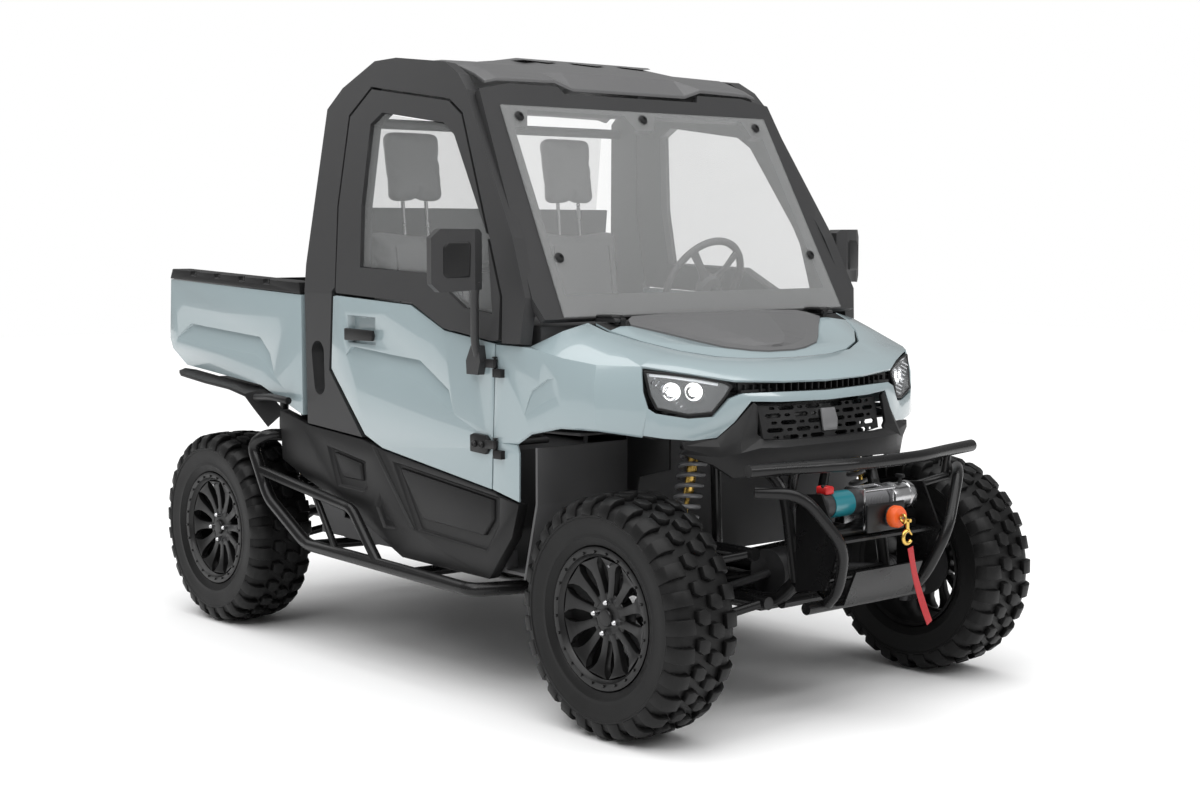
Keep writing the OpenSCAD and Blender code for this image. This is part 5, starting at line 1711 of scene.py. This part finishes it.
@dataclass
class CargoBed:
    """Tub ribs, rail notches, tailgate dressing and tail lamps."""

    def build(self) -> None:
        """Dresses the bed and adds its ribs and fittings."""
        Shop.dress("bed_tub", BLACK_PLASTIC, 0.004)
        self.rails()
        self.gate()
        self.floor_ribs()
        self.lamps()
        obj = Bench.from_node("rear_fenders", "rounded_flares")
        Bench.soften(obj, 0.003, 2, 30, 40)
        Shop.fit(obj, "chassis", BLACK_PLASTIC, "rear_fenders", ["rear_fenders"])
        LOG.info("cargo bed ready")

    @staticmethod
    def rails() -> None:
        """Top rails with finger notches."""
        obj = Bench.from_node("bed_rails", "notched_rails")
        cuts = []
        for x in (-1.305, -1.125, -0.947, -0.771):
            z = 1.3165 - 0.037 * (x + 1.47) / 0.945
            cuts.append(Bench.block("notch", (x - 0.022, -0.745, z - 0.016),
                                    (x + 0.022, -0.716, z + 0.02), 0.004))
        Bench.carve(obj, Flanks.twins(lambda: cuts))
        Bench.soften(obj, 0.005, 3, 30, 40)
        Shop.fit(obj, "cargo_bed", BLACK_PLASTIC, "bed_rails", ["bed_rails"])

    @staticmethod
    def gate() -> None:
        """The tailgate with pressed panels and its latch handle."""
        Shop.dress("tailgate", BLACK_PLASTIC, 0.003)
        x0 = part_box("tailgate")[0][0]
        parts = []
        for y0, y1 in ((-0.60, -0.20), (0.20, 0.60), (-0.17, 0.17)):
            low, high = (1.06, 1.225)
            pts = [(x0 + 0.0005, y0, low), (x0 + 0.0005, y1, low), (x0 + 0.0005, y1, high),
                   (x0 + 0.0005, y0, high)]
            parts.append(Bench.prism("panel", pts, (-0.0045, 0, 0), 0.002, 0.94))
        parts.append(Bench.block("latch", (x0 - 0.006, -0.085, 1.232), (x0 + 0.002, 0.085, 1.262),
                                 0.003))
        Shop.fit(Bench.join("gate_pressings", parts), "tailgate", BLACK_PLASTIC, "tailgate")

    @staticmethod
    def floor_ribs() -> None:
        """Ribs along the bed floor and front wall."""
        ribs = []
        for k in range(-6, 7):
            y = 0.098 * k
            ribs.append(Bench.prism("rib", [(-1.45, y - 0.020, BED_FLOOR_Z),
                                            (-1.45, y + 0.020, BED_FLOOR_Z),
                                            (-0.60, y + 0.020, BED_FLOOR_Z),
                                            (-0.60, y - 0.020, BED_FLOOR_Z)],
                                    (0, 0, 0.007), 0.002, 0.985))
            ribs.append(Bench.prism("rib", [(-0.5855, y - 0.018, 1.03), (-0.5855, y + 0.018, 1.03),
                                            (-0.5855, y + 0.018, 1.20), (-0.5855, y - 0.018, 1.20)],
                                    (-0.006, 0, 0), 0.002, 0.95))
        Shop.fit(Bench.join("bed_ribs", ribs), "cargo_bed", BLACK_PLASTIC, "bed_tub")

    @staticmethod
    def lamps() -> None:
        """Tail lamps with ribbed lenses in black frames."""
        for side in Side:
            s = side.value
            ya, yb = sorted((s * 0.669, s * 0.707))
            lens = Bench.block(f"tail_lens_{side.word}", (-1.4938, ya, 1.086), (-1.478, yb, 1.234),
                               0.004, 3)
            Shop.fit(lens, "cargo_bed", RED_LENS, "tail_lamps", ["tail_lamps"])
            y0, y1 = sorted((s * 0.665, s * 0.711))
            frame_bars = Bench.pipe(f"tail_frame_{side.word}", [
                (-1.489, y0, 1.082), (-1.489, y1, 1.082), (-1.489, y1, 1.238),
                (-1.489, y0, 1.238)], 0.0045, 0.008, 5, True)
            Shop.fit(frame_bars, "cargo_bed", BLACK_PLASTIC, "tail_lamps")


# ---------------------------------------------------------------- cabin


@dataclass
class Cushion:
    """A padded block of the seat, puffed up by cloth simulation."""

    name: str
    low: Point
    high: Point
    lean: float = 0.0
    pivot: Point = (0.0, 0.0, 0.0)
    cap: float = 0.022
    pressure: float = 4.0

    def build(self, twin: str, shift: float) -> List[bpy.types.Object]:
        """Makes the cushion and a copy beside it.

        Args:
            twin: name of the copy.
            shift: how far the copy stands to the left.

        Returns:
            The two cushions.
        """
        obj = Bench.block(self.name, self.low, self.high, 0.028, 4)
        obj.data.transform(Matrix.Translation(self.pivot)
                           @ Matrix.Rotation(math.radians(-self.lean), 4, "Y")
                           @ Matrix.Translation(-Vector(self.pivot)))
        self.puff(obj)
        other = Bench.copy(obj, twin, Matrix.Translation((0, shift, 0)))
        return [obj, other]

    def puff(self, obj: bpy.types.Object) -> None:
        """Runs the cloth simulation on the cushion and keeps its result.

        Args:
            obj: the cushion's block.
        """
        Bench.use(obj, "REMESH", mode="VOXEL", voxel_size=0.0065)
        start = [v.co.copy() for v in obj.data.vertices]
        Bench.pick(obj)
        mod = obj.modifiers.new("cloth", "CLOTH")
        mod.settings.use_pressure = True
        mod.settings.uniform_pressure_force = self.pressure
        mod.settings.effector_weights.gravity = 0
        mod.settings.quality = 4
        scene = bpy.context.scene
        for step in range(1, 19):
            scene.frame_set(step)
        bpy.ops.object.modifier_apply(modifier="cloth")
        scene.frame_set(1)
        for vert, rest in zip(obj.data.vertices, start):
            move = vert.co - rest
            if move.length > self.cap:
                vert.co = rest + move.normalized() * self.cap
        Bench.use(obj, "SMOOTH", factor=0.5, iterations=3)
        Bench.smooth(obj, 80)


@dataclass
class Cabin:
    """Seats, wheel, dashboard fittings and pedals."""

    seat_y: float = -SEAT_Y
    back_lean: float = 7.0

    def build(self) -> None:
        """Makes the seats and the driver's controls."""
        self.seats()
        self.steering()
        self.controls()
        LOG.info("cabin ready")

    def seats(self) -> None:
        """Two bucket seats with stitched seams and headrests."""
        y = self.seat_y
        pivot = (-0.345, y, 0.79)
        parts = (
            Cushion("seat_pad_right", (-0.335, y - 0.215, 0.750), (0.115, y + 0.215, 0.862)),
            Cushion("seat_back_right", (-0.335, y - 0.212, 0.905), (-0.262, y + 0.212, 1.465),
                    self.back_lean, pivot),
            Cushion("head_pad_right", (-0.325, y - 0.112, 1.566), (-0.262, y + 0.112, 1.812),
                    self.back_lean, pivot, 0.016))
        for part in parts:
            for obj in part.build(part.name.replace("right", "left"), -2 * y):
                Shop.fit(obj, "chassis", VINYL, "seats", ["seats"])
        for side in Side:
            s = side.value
            tag = side.word
            lines = []
            for dy in (-0.135, 0.135):
                yy = s * SEAT_Y + dy
                lines.append(Bench.pipe("seam", [(-0.30, yy, 0.884), (-0.1, yy, 0.888),
                                                 (0.09, yy, 0.882), (0.13, yy, 0.84)],
                                        0.0028, 0.03, 4))
                path = []
                for h in (0.93, 1.1, 1.3, 1.40):
                    p = Vector((-0.240, yy, h)) - Vector(pivot)
                    lean = math.radians(self.back_lean)
                    c, n = math.cos(lean), math.sin(lean)
                    path.append((pivot[0] + p.x * c - p.z * n, yy, pivot[2] + p.x * n + p.z * c))
                lines.append(Bench.pipe("seam", path, 0.0028, 0.03, 4))
            Shop.fit(Bench.join(f"seat_seams_{tag}", lines), "chassis", SEAM, "seats")
            posts = []
            for dy in (-0.05, 0.05):
                posts.append(Bench.pipe("post", [(-0.382, s * SEAT_Y + dy, 1.42),
                                                 (-0.396, s * SEAT_Y + dy, 1.58)], 0.007))
            Shop.fit(Bench.join(f"headrest_posts_{tag}", posts), "chassis", STEEL, "seats")
            shell = Bench.block(f"seat_shell_{tag}", (-0.350, s * SEAT_Y - 0.20, 0.732),
                                (0.12, s * SEAT_Y + 0.20, 0.752), 0.008, 3)
            Shop.fit(shell, "chassis", INNER, "seats")

    @staticmethod
    def steering() -> None:
        """The steering wheel with a padded grip, spokes and hub."""
        c, n = math.cos(math.radians(27.5)), math.sin(math.radians(27.5))
        turn = Matrix((( n, 0, -c, 0), (0, 1, 0, 0), (c, 0, n, 0), (0, 0, 0, 1)))
        at = Matrix.Translation((0.350, 0.355, 1.280)) @ turn
        ring = [(0.166 + 0.0135 * math.cos(a), 0.0125 * math.sin(a))
                for a in (i * math.pi / 6 for i in range(12))]
        grip = Bench.turned("grip", ring, (0, 0, 0), (0, 0, 1), 56, 60)
        parts = [grip]
        for deg in (180, 40, 320):
            a = math.radians(deg)
            d = Vector((math.cos(a), math.sin(a), 0))
            e = Vector((-math.sin(a), math.cos(a), 0))

            def ring_at(r: float, w: float, z: float, t: float) -> List[Point]:
                """Cross-section of a wheel spoke."""
                return [tuple(d * r + e * k * w + Vector((0, 0, z + m * t)))
                        for k, m in ((-1, -1), (1, -1), (1, 1), (-1, 1))]
            parts.append(Bench.loft("spoke", [ring_at(0.03, 0.02, -0.026, 0.005),
                                              ring_at(0.09, 0.013, -0.020, 0.004),
                                              ring_at(0.162, 0.016, -0.004, 0.004)], 0.002))
        parts.append(Bench.turned("boss", [(0, -0.048), (0.044, -0.048), (0.048, -0.03),
                                           (0.046, -0.012), (0.036, -0.004), (0, -0.003)],
                                  (0, 0, 0), (0, 0, 1), 40, 35))
        obj = Bench.join("steering_wheel_rim", parts)
        obj.data.transform(at)
        Shop.fit(obj, "steering_wheel", INNER, "steering_wheel", ["steering_wheel"])
        Shop.dress("steering_column", POWDER)

    @staticmethod
    def controls() -> None:
        """Screen, vents, shifter and pedals."""
        dark = []
        dark.append(Bench.prism("display", [(0.452, -0.10, 1.168), (0.452, 0.09, 1.168),
                                            (0.428, 0.09, 1.148), (0.428, -0.10, 1.148)],
                                (0.016, 0, 0.030), 0.003))
        for y in (-0.52, -0.30, 0.16, 0.56):
            dark.append(Bench.turned("vent", [(0.018, 0), (0.034, 0), (0.034, 0.008),
                                              (0.030, 0.012), (0.020, 0.006)],
                                     (0.446, y, 1.09), (-1, 0, -0.2), 28, 40))
        dark.append(Bench.pipe("shift_stem", [(0.10, 0.02, 0.70), (0.13, 0.02, 0.98)], 0.008))
        dark.append(Bench.turned("shift_knob", [(0, 0), (0.018, 0.004), (0.024, 0.022),
                                                (0.019, 0.042), (0, 0.048)],
                                 (0.13, 0.02, 0.975), (0.1, 0, 1), 28, 60))
        dark.append(Bench.block("tunnel", (-0.03, -0.075, 0.413), (0.60, 0.075, 0.60), 0.02, 3))
        for y in (0.25, 0.37):
            dark.append(Bench.prism("pedal", [(0.600, y, 0.52), (0.600, y + 0.07, 0.52),
                                              (0.630, y + 0.07, 0.62), (0.630, y, 0.62)],
                                    (-0.010, 0, 0.004), 0.003))
        dark.append(Bench.pipe("grab_bar", [(0.455, -0.60, 1.13), (0.415, -0.58, 1.135),
                                            (0.415, -0.36, 1.135), (0.455, -0.34, 1.13)],
                               0.011, 0.03))
        Shop.fit(Bench.join("cabin_controls", dark), "chassis", INNER, "dashboard")


def main() -> None:
    """Builds the vehicle part by part."""
    logging.basicConfig(level=logging.INFO, format="%(name)s: %(message)s")
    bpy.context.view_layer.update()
    Studio().build()
    RunningGear().build()
    Wheels().build()
    Flanks().build()
    SillPlates().build()
    Cab().build()
    Nose().build()
    FrontKit().build()
    CargoBed().build()
    Cabin().build()
    LOG.info("%d pieces fitted", Shop.count)


if __name__ == "__main__":
    main()
